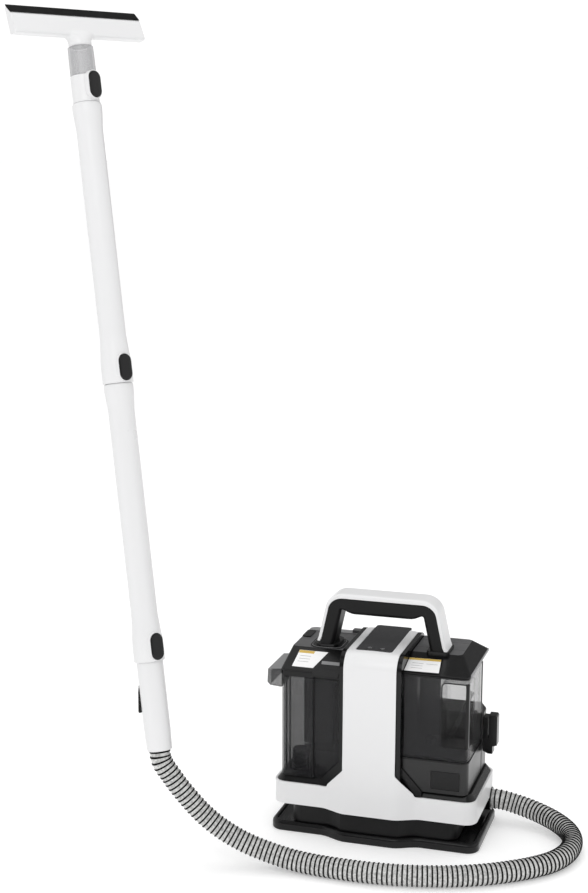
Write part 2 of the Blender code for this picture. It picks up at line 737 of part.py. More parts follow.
def smooth_line(knots, step):
    """Points about one step apart on a smooth curve through the knots."""
    ghosts = [knots[0] * 2 - knots[1], *knots, knots[-1] * 2 - knots[-2]]
    fine = []
    for p0, p1, p2, p3 in zip(ghosts, ghosts[1:], ghosts[2:], ghosts[3:]):
        fine += [curve_point(p0, p1, p2, p3, k / 16) for k in range(16)]
    fine.append(knots[-1])
    travel = [0.0]
    for before, after in zip(fine, fine[1:]):
        travel.append(travel[-1] + (after - before).length)
    count = round(travel[-1] / step)
    line = []
    index = 0
    for i in range(count):
        goal = travel[-1] * i / count
        while travel[index + 1] < goal:
            index += 1
        share = (goal - travel[index]) / (travel[index + 1] - travel[index])
        line.append(fine[index].lerp(fine[index + 1], share))
    line.append(knots[-1])
    return line


def curve_point(p0, p1, p2, p3, t):
    """Point between p1 and p2 on the smooth curve that also heeds their neighbours."""
    bend = 2 * p0 - 5 * p1 + 4 * p2 - p3
    twist = 3 * p1 - 3 * p2 + p3 - p0
    return 0.5 * (2 * p1 + (p2 - p0) * t + bend * t * t + twist * t * t * t)


# ---------------------------------------------------------------- wand
def wand_frame(height=0.0):
    """Frame on the wand's axis: local Z runs up the wand, local -Y faces the room."""
    z = WAND_AXIS
    x = WAND_FACE.cross(z).normalized()
    y = z.cross(x)
    frame = Matrix((x, y, z)).transposed().to_4x4()
    frame.translation = WAND_END + z * height
    return frame


def radial_frame(height, angle):
    """Frame at the wand's axis whose local Y points outwards at an angle from its face."""
    turn = math.radians(angle + 180)
    return wand_frame(height) @ Matrix.Rotation(turn, 4, "Z")


def radial_block(name, height, angle, outline, low, high, look, base=0.0):
    """An (across, along) outline standing off the wand's axis between two radii."""
    frame = radial_frame(height, angle) @ Matrix.Translation((0.0, base, 0.0))
    rings = [[(a, end - base, b) for a, b in outline] for end in (low, high)]
    return loft(name, rings, look, frame=frame)


def release_button(tube, name, height, angle):
    """Oval boss on the tube with a sprung release button in it."""
    half = BUTTON_HALF_LENGTH
    width = BUTTON_HALF_WIDTH
    rim = stadium(half + BUTTON_MARGIN, width + BUTTON_MARGIN)
    boss = radial_block(f"{name}_boss", height, angle, rim, 0.0190, 0.0258, "white_plastic")
    join(tube, boss)
    hole = stadium(half + GAP, width + GAP)
    pocket = radial_block(f"{name}_pocket", height, angle, hole, 0.0203, 0.0300, "white_plastic")
    cut(tube, pocket)
    seat = 0.0236
    radial_block(name, height, angle, stadium(half, width), seat, 0.0284, "black_plastic", seat)


def wand_tube(name, low, high, button):
    """White tube with a socket and release button at its foot, a collar and spigot at its head."""
    length = high - low
    outer = [
        (SOCKET_RADIUS - 0.001, 0.0),
        (SOCKET_RADIUS, 0.0015),
        (SOCKET_RADIUS - 0.0006, 0.030),
        (TUBE_RADIUS, 0.075),
        (TUBE_RADIUS, length - 0.046),
        (COLLAR_RADIUS, length - 0.010),
        (COLLAR_RADIUS, length - 0.006),
        (TUBE_RADIUS, length - GAP),
        (SPIGOT_RADIUS, length - GAP),
        (SPIGOT_RADIUS, length + SPIGOT_LENGTH),
    ]
    inner = [
        (BORE_RADIUS, length + SPIGOT_LENGTH),
        (BORE_RADIUS, SPIGOT_LENGTH + 0.003),
        (SPIGOT_RADIUS + GAP, SPIGOT_LENGTH + 0.002),
        (SPIGOT_RADIUS + GAP, 0.0),
    ]
    tube = lathe(name, outer + inner, "white_plastic", wand_frame(low))
    release_button(tube, button, low + BUTTON_HEIGHT, BUTTON_ANGLE)


def wand_handle():
    """White grip with a pocket for the spray trigger, which swings on a steel pin."""
    profile = [
        (0.0184, 0.0),
        (0.0194, 0.0012),
        (0.0205, 0.030),
        (TUBE_RADIUS, HANDLE_TOP - GAP),
        (SPIGOT_RADIUS, HANDLE_TOP - GAP),
        (SPIGOT_RADIUS, HANDLE_TOP + SPIGOT_LENGTH),
        (0.0125, HANDLE_TOP + SPIGOT_LENGTH),
        (0.0125, 0.0),
    ]
    grip = lathe("wand_handle", profile, "white_plastic", wand_frame())
    half = 0.0065
    low = 0.0590
    high = 0.1045
    outline = [(-half - GAP, low), (half + GAP, low), (half + GAP, high), (-half - GAP, high)]
    pocket = radial_block("trigger_pocket", 0.0, TRIGGER_ANGLE, outline, 0.0142, 0.0300, "white_plastic")
    cut(grip, pocket)
    pin_height = 0.1000
    pin_radius = 0.0177
    pin_frame = radial_frame(pin_height, TRIGGER_ANGLE) @ Matrix.Translation((0.0, pin_radius, 0.0))
    across = Matrix.Rotation(math.radians(90), 4, "Y")
    pin = 0.0015
    pin_half = 0.0086
    bore = [(pin + GAP, -pin_half - 0.0004), (pin + GAP, pin_half + 0.0004)]
    cut(grip, lathe("pin_bore", bore, "steel", pin_frame @ across, 12, hollow=False))
    lever = [
        (0.0160, pin_height + 0.0030),
        (0.0200, pin_height + 0.0030),
        (0.0222, pin_height - 0.0080),
        (0.0252, low + 0.0040),
        (0.0245, low + 0.0016),
        (0.0210, low + 0.0016),
        (0.0195, pin_height - 0.0060),
        (0.0160, pin_height - 0.0030),
    ]
    rings = []
    for end in (-half, half):
        rings.append([(end, radius - pin_radius, height - pin_height) for radius, height in lever])
    trigger = loft("spray_trigger", rings, "black_plastic", frame=pin_frame)
    hole = [(pin + GAP, -0.02), (pin + GAP, 0.02)]
    cut(trigger, lathe("trigger_bore", hole, "steel", pin_frame @ across, 12, hollow=False))
    lathe("trigger_pin", [(pin, -pin_half), (pin, pin_half)], "steel", pin_frame @ across, 12, hollow=False)


def leaning(outline):
    """A (y, z) outline of the head, leaning backwards above the neck."""
    return [(y + HEAD_LEAN * max(z - 0.002, 0.0), z) for y, z in outline]


def wand_head():
    """Coupler, clear neck, T-shaped nozzle head and its rubber lip."""
    length = COUPLER_TOP - UPPER_TOP
    profile = [
        (TUBE_RADIUS, 0.0),
        (TUBE_RADIUS, length - GAP),
        (0.0150, length - GAP),
        (0.0150, SPIGOT_LENGTH + 0.004),
        (SPIGOT_RADIUS + GAP, SPIGOT_LENGTH + 0.003),
        (SPIGOT_RADIUS + GAP, 0.0),
    ]
    coupler = lathe("neck_coupler", profile, "white_plastic", wand_frame(UPPER_TOP))
    height = UPPER_TOP + NECK_BUTTON_HEIGHT
    release_button(coupler, "neck_button", height, NECK_BUTTON_ANGLE)
    clear = NECK_TOP - COUPLER_TOP
    neck = [(0.0202, 0.0), (0.0197, clear - GAP), (0.0165, clear - GAP), (0.0168, 0.0)]
    tube = lathe("clear_neck", neck, "clear_plastic", wand_frame(COUPLER_TOP))
    around = BUTTON_MARGIN + GAP
    notch = stadium(BUTTON_HALF_LENGTH + around, BUTTON_HALF_WIDTH + around)
    cut(tube, radial_block("neck_notch", height, NECK_BUTTON_ANGLE, notch, 0.0187, 0.03, "clear_plastic"))
    head_frame = wand_frame(HEAD_LOW) @ Matrix.Rotation(math.radians(HEAD_TURN), 4, "Z")
    section = [(-0.0100, 0.0), (-0.0092, -0.0012), (0.0082, -0.0012), (0.0090, 0.0)]
    section += [(0.0088, 0.0435), (0.0052, 0.0435), (-0.0044, 0.0325), (-0.0056, 0.0300)]
    side = HEAD_HALF_WIDTH
    head = side_prism("nozzle_head", leaning(section), -side, side, "white_plastic", frame=head_frame)
    stem = [(0.0178, NECK_TOP - HEAD_LOW), (0.0165, -0.004), (0.0090, 0.004)]
    join(head, lathe("head_stem", stem, "white_plastic", head_frame, 24, hollow=False))
    bore = [(0.0130, -0.03), (0.0070, 0.006)]
    cut(head, lathe("head_bore", bore, "white_plastic", head_frame, 16, hollow=False))
    slot = leaning([(0.0010, 0.004), (0.0062, 0.004), (0.0062, 0.06), (0.0010, 0.06)])
    end = side - 0.004
    cut(head, side_prism("head_slot", slot, -end, end, "white_plastic", frame=head_frame))
    lip = [(-0.0048, 0.0332), (-0.0044, 0.0325 + 2 * GAP), (0.0052, 0.0435 + 2 * GAP)]
    lip += [(0.0060, 0.0470), (0.0045, 0.0472)]
    side_prism("rubber_lip", leaning(lip), -side, side, "rubber", frame=head_frame)


def main():
    """Clear the file and build every piece."""
    for old in list(bpy.data.objects):
        bpy.data.objects.remove(old, do_unlink=True)
    foot_tray()
    plinth()
    hose_connector()
    body_shell()
    spine()
    bays()
    decks()
    carry_handle()
    control_panel()
    side_hook()
    pump_housing()
    clean_tank()
    dirty_tank()
    drive()
    hose()
    wand_handle()
    wand_tube("lower_tube", HANDLE_TOP, LOWER_TOP, "lower_button")
    wand_tube("upper_tube", LOWER_TOP, UPPER_TOP, "upper_button")
    wand_head()


main()
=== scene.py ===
"""Spot extractor with its hose and standing wand: the finished surfaces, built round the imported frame."""
import logging
import math
from collections.abc import Callable, Sequence
from dataclasses import dataclass
from enum import Enum
from functools import cache

import bmesh
import bpy
from bpy.types import Material, Node, NodeSocket, Object, ShaderNodeTree
from mathutils import Matrix, Vector


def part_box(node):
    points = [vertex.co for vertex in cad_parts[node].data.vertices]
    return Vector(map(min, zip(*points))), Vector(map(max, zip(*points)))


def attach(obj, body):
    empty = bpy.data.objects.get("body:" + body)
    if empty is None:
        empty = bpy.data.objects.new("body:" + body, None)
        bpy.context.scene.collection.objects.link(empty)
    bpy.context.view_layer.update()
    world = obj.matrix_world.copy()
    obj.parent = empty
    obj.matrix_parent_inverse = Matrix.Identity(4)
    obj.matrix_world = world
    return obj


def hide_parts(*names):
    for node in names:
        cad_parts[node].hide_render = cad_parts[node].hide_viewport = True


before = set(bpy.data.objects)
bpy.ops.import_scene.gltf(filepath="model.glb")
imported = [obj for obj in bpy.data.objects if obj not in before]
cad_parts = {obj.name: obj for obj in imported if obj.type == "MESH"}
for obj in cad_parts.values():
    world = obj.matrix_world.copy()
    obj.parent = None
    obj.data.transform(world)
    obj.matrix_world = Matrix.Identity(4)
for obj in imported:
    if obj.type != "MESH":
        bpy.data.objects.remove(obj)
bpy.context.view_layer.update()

LOG = logging.getLogger("spot_extractor")

Point2 = tuple[float, float]
Point3 = tuple[float, float, float]
Ring = list[Point3]

# ------------------------------------------------------------------ sizes shared by the sub-assemblies
GAP = 0.0003
PILLAR_X = -0.003
PILLAR_HALF = 0.043
BAY_EDGE = 0.0505 + GAP
BULGE = 0.015
BULGE_HALF = 0.084
BULGE_RUN = 0.046
BAND_FRONT = -0.078
BAND_BACK = 0.0885
BAND_LOW = 0.047
BAND_TOP = 0.084
HOOP_TOP = 0.316
HOOP_BACK = 0.084
HOSE_Y = 0.063
HOSE_Z = 0.0385
HOSE_WAY = 0.0194
WAND_END = Vector((-0.2955, -0.2476, 0.1835))
WAND_AXIS = Vector((-0.1640, 0.1431, 0.9760)).normalized()
WAND_FACE = Vector((-0.2907, 0.9385, -0.1864))


class Body(str, Enum):
    """The moving bodies that pieces ride on."""

    MACHINE = "machine"
    DIRTY = "dirty_tank_group"
    CLEAN = "clean_tank_group"
    CAP = "filler_cap"
    POWER = "power_button"
    MODE = "mode_button"
    TRIGGER = "trigger"
    LOWER_TUBE = "lower_wand_tube"
    LOWER_BUTTON = "lower_release"
    UPPER_TUBE = "upper_wand_tube"
    UPPER_BUTTON = "upper_release"
    NOZZLE = "nozzle"
    NOZZLE_BUTTON = "nozzle_release"


class Axis(Enum):
    """The way a flat outline faces, as the order that turns (first, second, level) into x, y, z."""

    X = (2, 0, 1)
    Y = (0, 2, 1)
    Z = (0, 1, 2)


# ------------------------------------------------------------------ shader wiring
@dataclass
class Graph:
    """Places and wires the nodes of one material or node group."""

    tree: ShaderNodeTree

    def put(self, value: object, socket: NodeSocket) -> None:
        """Bring a socket's output or a plain value to an input."""
        if isinstance(value, NodeSocket):
            self.tree.links.new(value, socket)
        else:
            socket.default_value = value

    def add(self, kind: str, **settings: object) -> Node:
        """Place a node and set its own properties.

        Args:
            kind: the node's type, without the ShaderNode in front.
            settings: the properties to set on it.

        Returns:
            The new node.
        """
        node = self.tree.nodes.new(f"ShaderNode{kind}")
        for name, value in settings.items():
            setattr(node, name, value)
        return node

    def feed(self, node: Node, **inputs: object) -> Node:
        """Fill a node's inputs.

        Args:
            node: the node to fill.
            inputs: a socket or value for each input, its name's spaces written as underscores.

        Returns:
            The same node.
        """
        for name, value in inputs.items():
            self.put(value, node.inputs[name.replace("_", " ")])
        return node

    def math(self, operation: str, first: object, second: object = 0.0) -> NodeSocket:
        """Do one sum on sockets or numbers.

        Args:
            operation: the sum, as the Math node names it.
            first: left value.
            second: right value.

        Returns:
            The result's socket.
        """
        node = self.add("Math", operation=operation)
        self.put(first, node.inputs[0])
        self.put(second, node.inputs[1])
        return node.outputs[0]

    def spread(self, value: NodeSocket, low: float, high: float, start: object, end: object) -> NodeSocket:
        """Map a value from low..high to start..end, held at both ends.

        Args:
            value: what to map.
            low: where the range starts.
            high: where the range ends.
            start: what low becomes.
            end: what high becomes.

        Returns:
            The mapped value's socket.
        """
        node = self.add("MapRange", clamp=True)
        self.feed(node, Value=value, From_Min=low, From_Max=high, To_Min=start, To_Max=end)
        return node.outputs[0]

    def mix(self, share: object, first: object, second: object) -> NodeSocket:
        """Blend two colours.

        Args:
            share: how much of the second, as a socket or number.
            first: a colour or socket.
            second: a colour or socket.

        Returns:
            The blended colour's socket.
        """
        node = self.add("Mix", data_type="RGBA")
        self.put(share, node.inputs[0])
        for index, value in ((6, first), (7, second)):
            self.put(value if isinstance(value, NodeSocket) else (*value, 1.0), node.inputs[index])
        return node.outputs[2]

    def coords(self) -> NodeSocket:
        """The surface's own coordinates, in metres."""
        return self.add("TexCoord").outputs["Object"]

    def noise(self, vector: NodeSocket, scale: object, detail: float = 2.0) -> NodeSocket:
        """Soft noise over the surface.

        Args:
            vector: where on the surface.
            scale: how fine it is.
            detail: how many finer layers it has.

        Returns:
            The noise value's socket.
        """
        return self.feed(self.add("TexNoise"), Vector=vector, Scale=scale, Detail=detail).outputs[0]

    def bump(self, height: NodeSocket, depth: float, strength: float = 1.0) -> NodeSocket:
        """Turn a height into a normal.

        Args:
            height: the height's socket.
            depth: how deep it is, in metres.
            strength: how strongly it shows.

        Returns:
            The normal's socket.
        """
        return self.feed(self.add("Bump"), Height=height, Distance=depth, Strength=strength).outputs[0]

    def group(self, tree: ShaderNodeTree, **inputs: object) -> Node:
        """Place a shared node group with its own values.

        Args:
            tree: the group.
            inputs: its values, named with underscores.

        Returns:
            The group's node.
        """
        node = self.add("Group")
        node.node_tree = tree
        return self.feed(node, **inputs)


def new_group(name: str, inputs: dict[str, float], outputs: Sequence[str]) -> tuple[Graph, Node, Node]:
    """Start a shared node group with plain number sockets.

    Args:
        name: the group's name.
        inputs: its inputs and their usual values.
        outputs: its outputs.

    Returns:
        The group's graph, its input node and its output node.
    """
    tree = bpy.data.node_groups.new(name, "ShaderNodeTree")
    for socket_name, value in inputs.items():
        socket = tree.interface.new_socket(name=socket_name, in_out="INPUT", socket_type="NodeSocketFloat")
        socket.default_value = value
    for socket_name in outputs:
        tree.interface.new_socket(name=socket_name, in_out="OUTPUT", socket_type="NodeSocketFloat")
    return Graph(tree), tree.nodes.new("NodeGroupInput"), tree.nodes.new("NodeGroupOutput")


class Effects:
    """The surface effects that several finishes share, each a node group made once."""

    @staticmethod
    @cache
    def edge_light_and_wear() -> ShaderNodeTree:
        """Worn corners that also carry painted edge light: strong where the surface turns sharply, broken up by
        noise.
        """
        values = {"Reach": 0.0012, "Breakup": 180.0, "Amount": 0.5}
        graph, inside, out = new_group("edge_light_and_wear", values, ["Mask"])
        rounded_normal = graph.feed(graph.add("Bevel", samples=4), Radius=inside.outputs["Reach"])
        dot = graph.add("VectorMath", operation="DOT_PRODUCT")
        graph.put(rounded_normal.outputs[0], dot.inputs[0])
        graph.put(graph.add("NewGeometry").outputs["Normal"], dot.inputs[1])
        edge = graph.spread(dot.outputs["Value"], 0.999, 0.93, 0.0, 1.0)
        patch = graph.noise(graph.coords(), inside.outputs["Breakup"], 4.0)
        broken = graph.math("MULTIPLY", edge, graph.spread(patch, 0.35, 0.65, 0.0, 1.0))
        graph.feed(out, Mask=graph.math("MULTIPLY", broken, inside.outputs["Amount"]))
        return graph.tree

    @staticmethod
    @cache
    def grain() -> ShaderNodeTree:
        """Moulded skin: a fine pebble height and a slow patchiness."""
        values = {"Scale": 900.0, "Patch Scale": 14.0}
        graph, inside, out = new_group("moulded_grain", values, ["Height", "Patch"])
        coords = graph.coords()
        scale = inside.outputs["Scale"]
        pebble = graph.feed(graph.add("TexVoronoi", feature="SMOOTH_F1"), Vector=coords, Scale=scale)
        coarse = graph.math("MULTIPLY", pebble.outputs["Distance"], 0.6)
        fine = graph.math("MULTIPLY", graph.noise(coords, graph.math("MULTIPLY", scale, 1.7), 3.0), 0.4)
        patch = graph.noise(coords, inside.outputs["Patch Scale"], 3.0)
        graph.feed(out, Height=graph.math("ADD", coarse, fine), Patch=patch)
        return graph.tree

    @staticmethod
    @cache
    def dust() -> ShaderNodeTree:
        """Fine dust that settles on what faces up."""
        graph, inside, out = new_group("settled_dust", {"Amount": 0.1, "Scale": 60.0}, ["Mask"])
        parts = graph.add("SeparateXYZ")
        graph.put(graph.add("NewGeometry").outputs["Normal"], parts.inputs[0])
        facing_up = graph.spread(parts.outputs["Z"], 0.35, 1.0, 0.0, 1.0)
        speckle = graph.noise(graph.coords(), inside.outputs["Scale"], 8.0)
        settled = graph.math("MULTIPLY", facing_up, graph.spread(speckle, 0.38, 0.70, 0.15, 1.0))
        graph.feed(out, Mask=graph.math("MULTIPLY", settled, inside.outputs["Amount"]))
        return graph.tree

    @staticmethod
    @cache
    def scratches() -> ShaderNodeTree:
        """Hairline scuffs in two directions."""
        graph, inside, out = new_group("hairline_scuffs", {"Scale": 40.0, "Amount": 0.5}, ["Mask"])
        coords = graph.coords()
        sets = []
        for turn in (0.5, 2.2):
            place = graph.add("Mapping")
            graph.feed(place, Vector=coords, Rotation=(turn, 0.3, turn), Scale=(1.0, 22.0, 1.0))
            lines = graph.noise(place.outputs[0], inside.outputs["Scale"], 2.0)
            sets.append(graph.spread(lines, 0.66, 0.72, 0.0, 1.0))
        graph.feed(out, Mask=graph.math("MULTIPLY", graph.math("MAXIMUM", *sets), inside.outputs["Amount"]))
        return graph.tree


# ------------------------------------------------------------------ finishes
def grey(tone: float) -> Point3:
    """An even grey."""
    return (tone, tone, tone)


def scaled(colour: Point3, factor: float) -> Point3:
    """A colour made darker or lighter by a factor, held at full white."""
    return tuple(min(channel * factor, 1.0) for channel in colour)


@dataclass(frozen=True)
class Finish:
    """What every finish has: a name, the record's material slot, a colour and a roughness."""

    name: str
    slot: str
    colour: Point3
    roughness: float

    def material(self) -> Material:
        """Return the material, made the first time it is asked for."""
        known = bpy.data.materials.get(self.name)
        if known:
            return known
        material = bpy.data.materials.new(self.name)
        material.use_nodes = True
        graph = Graph(material.node_tree)
        shader = material.node_tree.nodes["Principled BSDF"]
        graph.feed(shader, Base_Color=(*self.colour, 1.0), Roughness=self.roughness)
        self.wire(graph, shader)
        return material

    def wire(self, graph: Graph, shader: Node) -> None:
        """Wire the finish's own detail into the shader."""
        raise NotImplementedError

    def skin(self, graph: Graph, shader: Node, scale: float, depth: float, wander: float) -> NodeSocket:
        """Give the shader a moulded skin in its normal and its roughness.

        Args:
            graph: the material's graph.
            shader: its shader.
            scale: fineness of the pebble.
            depth: height of the pebble in metres.
            wander: how much the roughness wanders.

        Returns:
            The slow patchiness of the skin.
        """
        grain = graph.group(Effects.grain(), Scale=scale)
        patch = grain.outputs["Patch"]
        rough = graph.spread(patch, 0.1, 0.9, self.roughness - wander, self.roughness + wander)
        graph.feed(shader, Normal=graph.bump(grain.outputs["Height"], depth), Roughness=rough)
        return patch


@dataclass(frozen=True)
class MouldedPlastic(Finish):
    """Opaque moulded plastic with a fine skin, worn corners with painted edge light, and a little dust."""

    grain_scale: float = 900.0
    grain_depth: float = 0.00002
    gloss: float = 0.5
    light_and_wear: float = 0.25
    edge_light_and_worn_colour: Point3 = (0.5, 0.5, 0.5)
    dust: float = 0.05
    dust_colour: Point3 = (0.45, 0.44, 0.42)
    tone_spread: float = 0.03
    coat: float = 0.0

    def wire(self, graph: Graph, shader: Node) -> None:
        """Wire skin, tone, edge wear with painted edge light, and dust."""
        patch = self.skin(graph, shader, self.grain_scale, self.grain_depth, 0.05)
        low, high = (scaled(self.colour, 1.0 + sign * self.tone_spread) for sign in (-1, 1))
        tone = graph.mix(graph.spread(patch, 0.1, 0.9, 0.0, 1.0), low, high)
        # painted edge light as well as wear: corners of dark plastics turn lighter as a painted highlight,
        # corners of white plastic turn darker as painted shade
        light_and_wear = graph.group(Effects.edge_light_and_wear(), Amount=self.light_and_wear)
        lit_and_worn = graph.mix(light_and_wear.outputs["Mask"], tone, self.edge_light_and_worn_colour)
        dust = graph.group(Effects.dust(), Amount=self.dust)
        graph.feed(shader, Base_Color=graph.mix(dust.outputs["Mask"], lit_and_worn, self.dust_colour))
        graph.feed(shader, Specular_IOR_Level=self.gloss, Coat_Weight=self.coat, Coat_Roughness=0.08)


@dataclass(frozen=True)
class SeeThroughPlastic(Finish):
    """Smoked or clear plastic: each face lets part of the light through, less where it turns away."""

    density: float = 0.4
    rim: float = 0.6
    gloss: float = 0.5
    scuffs: float = 0.25

    def wire(self, graph: Graph, shader: Node) -> None:
        """Wire tint, hairline scuffs and the denser look of faces that turn away."""
        scuffs = graph.group(Effects.scratches(), Amount=self.scuffs)
        facing = graph.feed(graph.add("LayerWeight"), Blend=0.35)
        edge = graph.math("MULTIPLY", facing.outputs["Facing"], self.rim)
        clear = graph.math("MULTIPLY", graph.math("SUBTRACT", 1.0, edge), 1.0 - self.density)
        coords = graph.coords()
        haze = graph.spread(graph.noise(coords, 9.0, 3.0), 0.3, 0.7, 0.97, 1.0)
        thick = graph.math("SUBTRACT", 1.0, graph.math("MULTIPLY", clear, haze))
        rough = graph.spread(scuffs.outputs["Mask"], 0.0, 1.0, self.roughness, self.roughness + 0.25)
        ripple = graph.bump(graph.noise(coords, 35.0, 1.0), 0.0002, 0.4)
        graph.feed(shader, Alpha=thick, Roughness=rough, Normal=ripple, Specular_IOR_Level=self.gloss)


@dataclass(frozen=True)
class SoftRubber(Finish):
    """Matt rubber with a chalky bloom."""

    def wire(self, graph: Graph, shader: Node) -> None:
        """Wire the bloom and a fine skin."""
        patch = self.skin(graph, shader, 1400.0, 0.00004, 0.08)
        dust = graph.group(Effects.dust(), Amount=0.02)
        bloom = graph.spread(patch, 0.4, 0.8, 0.0, 0.25)
        tone = graph.mix(bloom, self.colour, scaled(self.colour, 2.0))
        graph.feed(shader, Base_Color=graph.mix(dust.outputs["Mask"], tone, (0.4, 0.4, 0.39)))
        graph.feed(shader, Specular_IOR_Level=0.10)


@dataclass(frozen=True)
class BareMetal(Finish):
    """Machined steel with brushed hairlines."""

    def wire(self, graph: Graph, shader: Node) -> None:
        """Wire the hairlines into tone and roughness."""
        scuffs = graph.group(Effects.scratches(), Amount=0.8, Scale=90.0)
        self.skin(graph, shader, 2200.0, 0.00001, 0.06)
        tone = graph.mix(scuffs.outputs["Mask"], self.colour, scaled(self.colour, 0.7))
        graph.feed(shader, Base_Color=tone, Metallic=1.0)


@dataclass(frozen=True)
class HoseFilm(Finish):
    """Thin silvery film between the hose's ribs, creased where it folds."""

    crease_scale: float = 260.0
    crease_depth: float = 0.0006

    def wire(self, graph: Graph, shader: Node) -> None:
        """Wire creases, a wandering tone and painted shade in the folds."""
        crease = graph.noise(graph.coords(), self.crease_scale, 3.0)
        # painted shade: the film darkens to 0.62 of its colour in the crease valleys, where the bump sinks
        tone = graph.mix(graph.spread(crease, 0.36, 0.60, 0.0, 1.0), scaled(self.colour, 0.62), self.colour)
        rough = graph.spread(crease, 0.3, 0.7, self.roughness - 0.06, self.roughness + 0.1)
        folds = graph.bump(crease, self.crease_depth, 0.7)
        graph.feed(shader, Base_Color=tone, Roughness=rough, Normal=folds, Metallic=0.25)


@dataclass(frozen=True)
class CircuitResist(Finish):
    """Green board with copper tracks under the resist."""

    def wire(self, graph: Graph, shader: Node) -> None:
        """Wire square tracks under the green resist."""
        bricks = graph.feed(graph.add("TexBrick"), Vector=graph.coords(), Scale=120.0, Mortar_Size=0.03)
        tracks = bricks.outputs["Fac"]
        graph.feed(shader, Base_Color=graph.mix(tracks, self.colour, scaled(self.colour, 2.2)))
        graph.feed(shader, Roughness=graph.spread(tracks, 0.0, 1.0, self.roughness, 0.35))


@dataclass(frozen=True)
class PrintedLabel(Finish):
    """Coated paper or print with a slight cockle."""

    def wire(self, graph: Graph, shader: Node) -> None:
        """Wire the cockle and the mottle."""
        patch = self.skin(graph, shader, 700.0, 0.00002, 0.05)
        graph.feed(shader, Base_Color=graph.mix(patch, scaled(self.colour, 0.93), self.colour))
        graph.feed(shader, Specular_IOR_Level=0.3)


@dataclass(frozen=True)
class StudioFloor(Finish):
    """Pale lit floor with a hint of mottle."""

    glow: float = 0.24

    def wire(self, graph: Graph, shader: Node) -> None:
        """Wire the mottle and the faint glow that keeps the far floor pale."""
        mottle = graph.noise(graph.coords(), 3.0, 4.0)
        tone = graph.mix(mottle, scaled(self.colour, 0.99), self.colour)
        graph.feed(shader, Base_Color=tone, Specular_IOR_Level=0.1)
        graph.feed(shader, Emission_Color=(1.0, 1.0, 1.0, 1.0), Emission_Strength=self.glow)


# the corner colours below are painted edge light as well as wear: painted shade on the white's corners, painted
# highlight on the darker plastics' corners
WHITE = MouldedPlastic("white_gloss_plastic", "white_plastic", (0.76, 0.76, 0.765), 0.30, grain_scale=700.0,
                       grain_depth=8e-6, gloss=0.4, light_and_wear=0.04, edge_light_and_worn_colour=grey(0.66), dust=0.0,
                       tone_spread=0.008, coat=0.15)
BLACK = MouldedPlastic("black_gloss_plastic", "black_plastic", (0.0030, 0.0030, 0.0033), 0.22,
                       grain_scale=800.0, grain_depth=6e-6, gloss=0.32, light_and_wear=0.16, edge_light_and_worn_colour=grey(0.06),
                       dust=0.006, tone_spread=0.15)
HOUSING = MouldedPlastic("black_housing_plastic", "black_plastic", (0.0035, 0.0035, 0.0038), 0.30,
                         grain_scale=800.0, grain_depth=1e-5, gloss=0.55, light_and_wear=0.16, edge_light_and_worn_colour=grey(0.06),
                         dust=0.006, tone_spread=0.15)
SATIN = MouldedPlastic("black_satin_plastic", "black_matte", (0.0040, 0.0040, 0.0043), 0.42, grain_depth=3e-5,
                       gloss=0.25, light_and_wear=0.15, edge_light_and_worn_colour=grey(0.06), dust=0.008, tone_spread=0.2)
DECK = MouldedPlastic("deck_grey_plastic", "black_plastic", (0.085, 0.085, 0.088), 0.42, grain_scale=1100.0,
                      grain_depth=3e-5, gloss=0.35, light_and_wear=0.15, edge_light_and_worn_colour=grey(0.2), dust=0.06,
                      tone_spread=0.06)
DECK_PALE = MouldedPlastic("deck_pale_plastic", "black_plastic", (0.22, 0.22, 0.225), 0.42,
                           grain_scale=1100.0, grain_depth=3e-5, gloss=0.35, light_and_wear=0.15,
                           edge_light_and_worn_colour=grey(0.3), dust=0.06, tone_spread=0.06)
RIB = MouldedPlastic("hose_rib_plastic", "hose_grey", grey(0.003), 0.45, grain_scale=1500.0, gloss=0.10,
                     light_and_wear=0.1, edge_light_and_worn_colour=grey(0.08), dust=0.02, tone_spread=0.1)
PANEL = MouldedPlastic("touch_panel_glass", "panel_glass", (0.030, 0.030, 0.032), 0.24, grain_scale=2500.0,
                       grain_depth=3e-6, gloss=0.12, light_and_wear=0.05, edge_light_and_worn_colour=grey(0.2), dust=0.02,
                       tone_spread=0.05)
MARKING = PrintedLabel("panel_marking", "panel_glass", grey(0.36), 0.4)
SMOKE = SeeThroughPlastic("smoked_plastic", "smoked_clear", (0.020, 0.020, 0.022), 0.10, 0.34, 0.55, 0.45)
SMOKE_DENSE = SeeThroughPlastic("smoked_plastic_dense", "smoked_clear", (0.016, 0.016, 0.017), 0.16, 0.80, 0.8)
SMOKE_THIN = SeeThroughPlastic("smoked_plastic_thin", "smoked_clear", grey(0.08), 0.10, 0.10, 0.4)
SMOKE_BACK = SeeThroughPlastic("smoked_plastic_back", "smoked_clear", grey(0.06), 0.12, 0.20, 0.35)
LEDGE = SeeThroughPlastic("smoked_plastic_ledge", "smoked_clear", (0.045, 0.045, 0.047), 0.16, 0.58, 0.6)
CLEAR = SeeThroughPlastic("clear_plastic_wall", "clear_plastic", (0.50, 0.50, 0.51), 0.08, 0.32, 0.7)
RUBBER = SoftRubber("soft_rubber", "rubber", grey(0.0025), 0.60)
STEEL = BareMetal("machined_steel", "steel", (0.60, 0.60, 0.61), 0.30)
FILM = HoseFilm("silver_hose_film", "hose_grey", (0.66, 0.66, 0.65), 0.34)
BOARD = CircuitResist("board_resist", "green_board", (0.03, 0.16, 0.07), 0.50)
PAPER = PrintedLabel("label_paper", "white_plastic", grey(0.90), 0.45)
GOLD = PrintedLabel("label_gold_bar", "white_plastic", (0.62, 0.42, 0.09), 0.45)
PRINT = PrintedLabel("label_grey_rule", "white_plastic", (0.42, 0.42, 0.43), 0.5)
FLOOR = StudioFloor("pale_floor", "white_plastic", grey(0.86), 0.8)


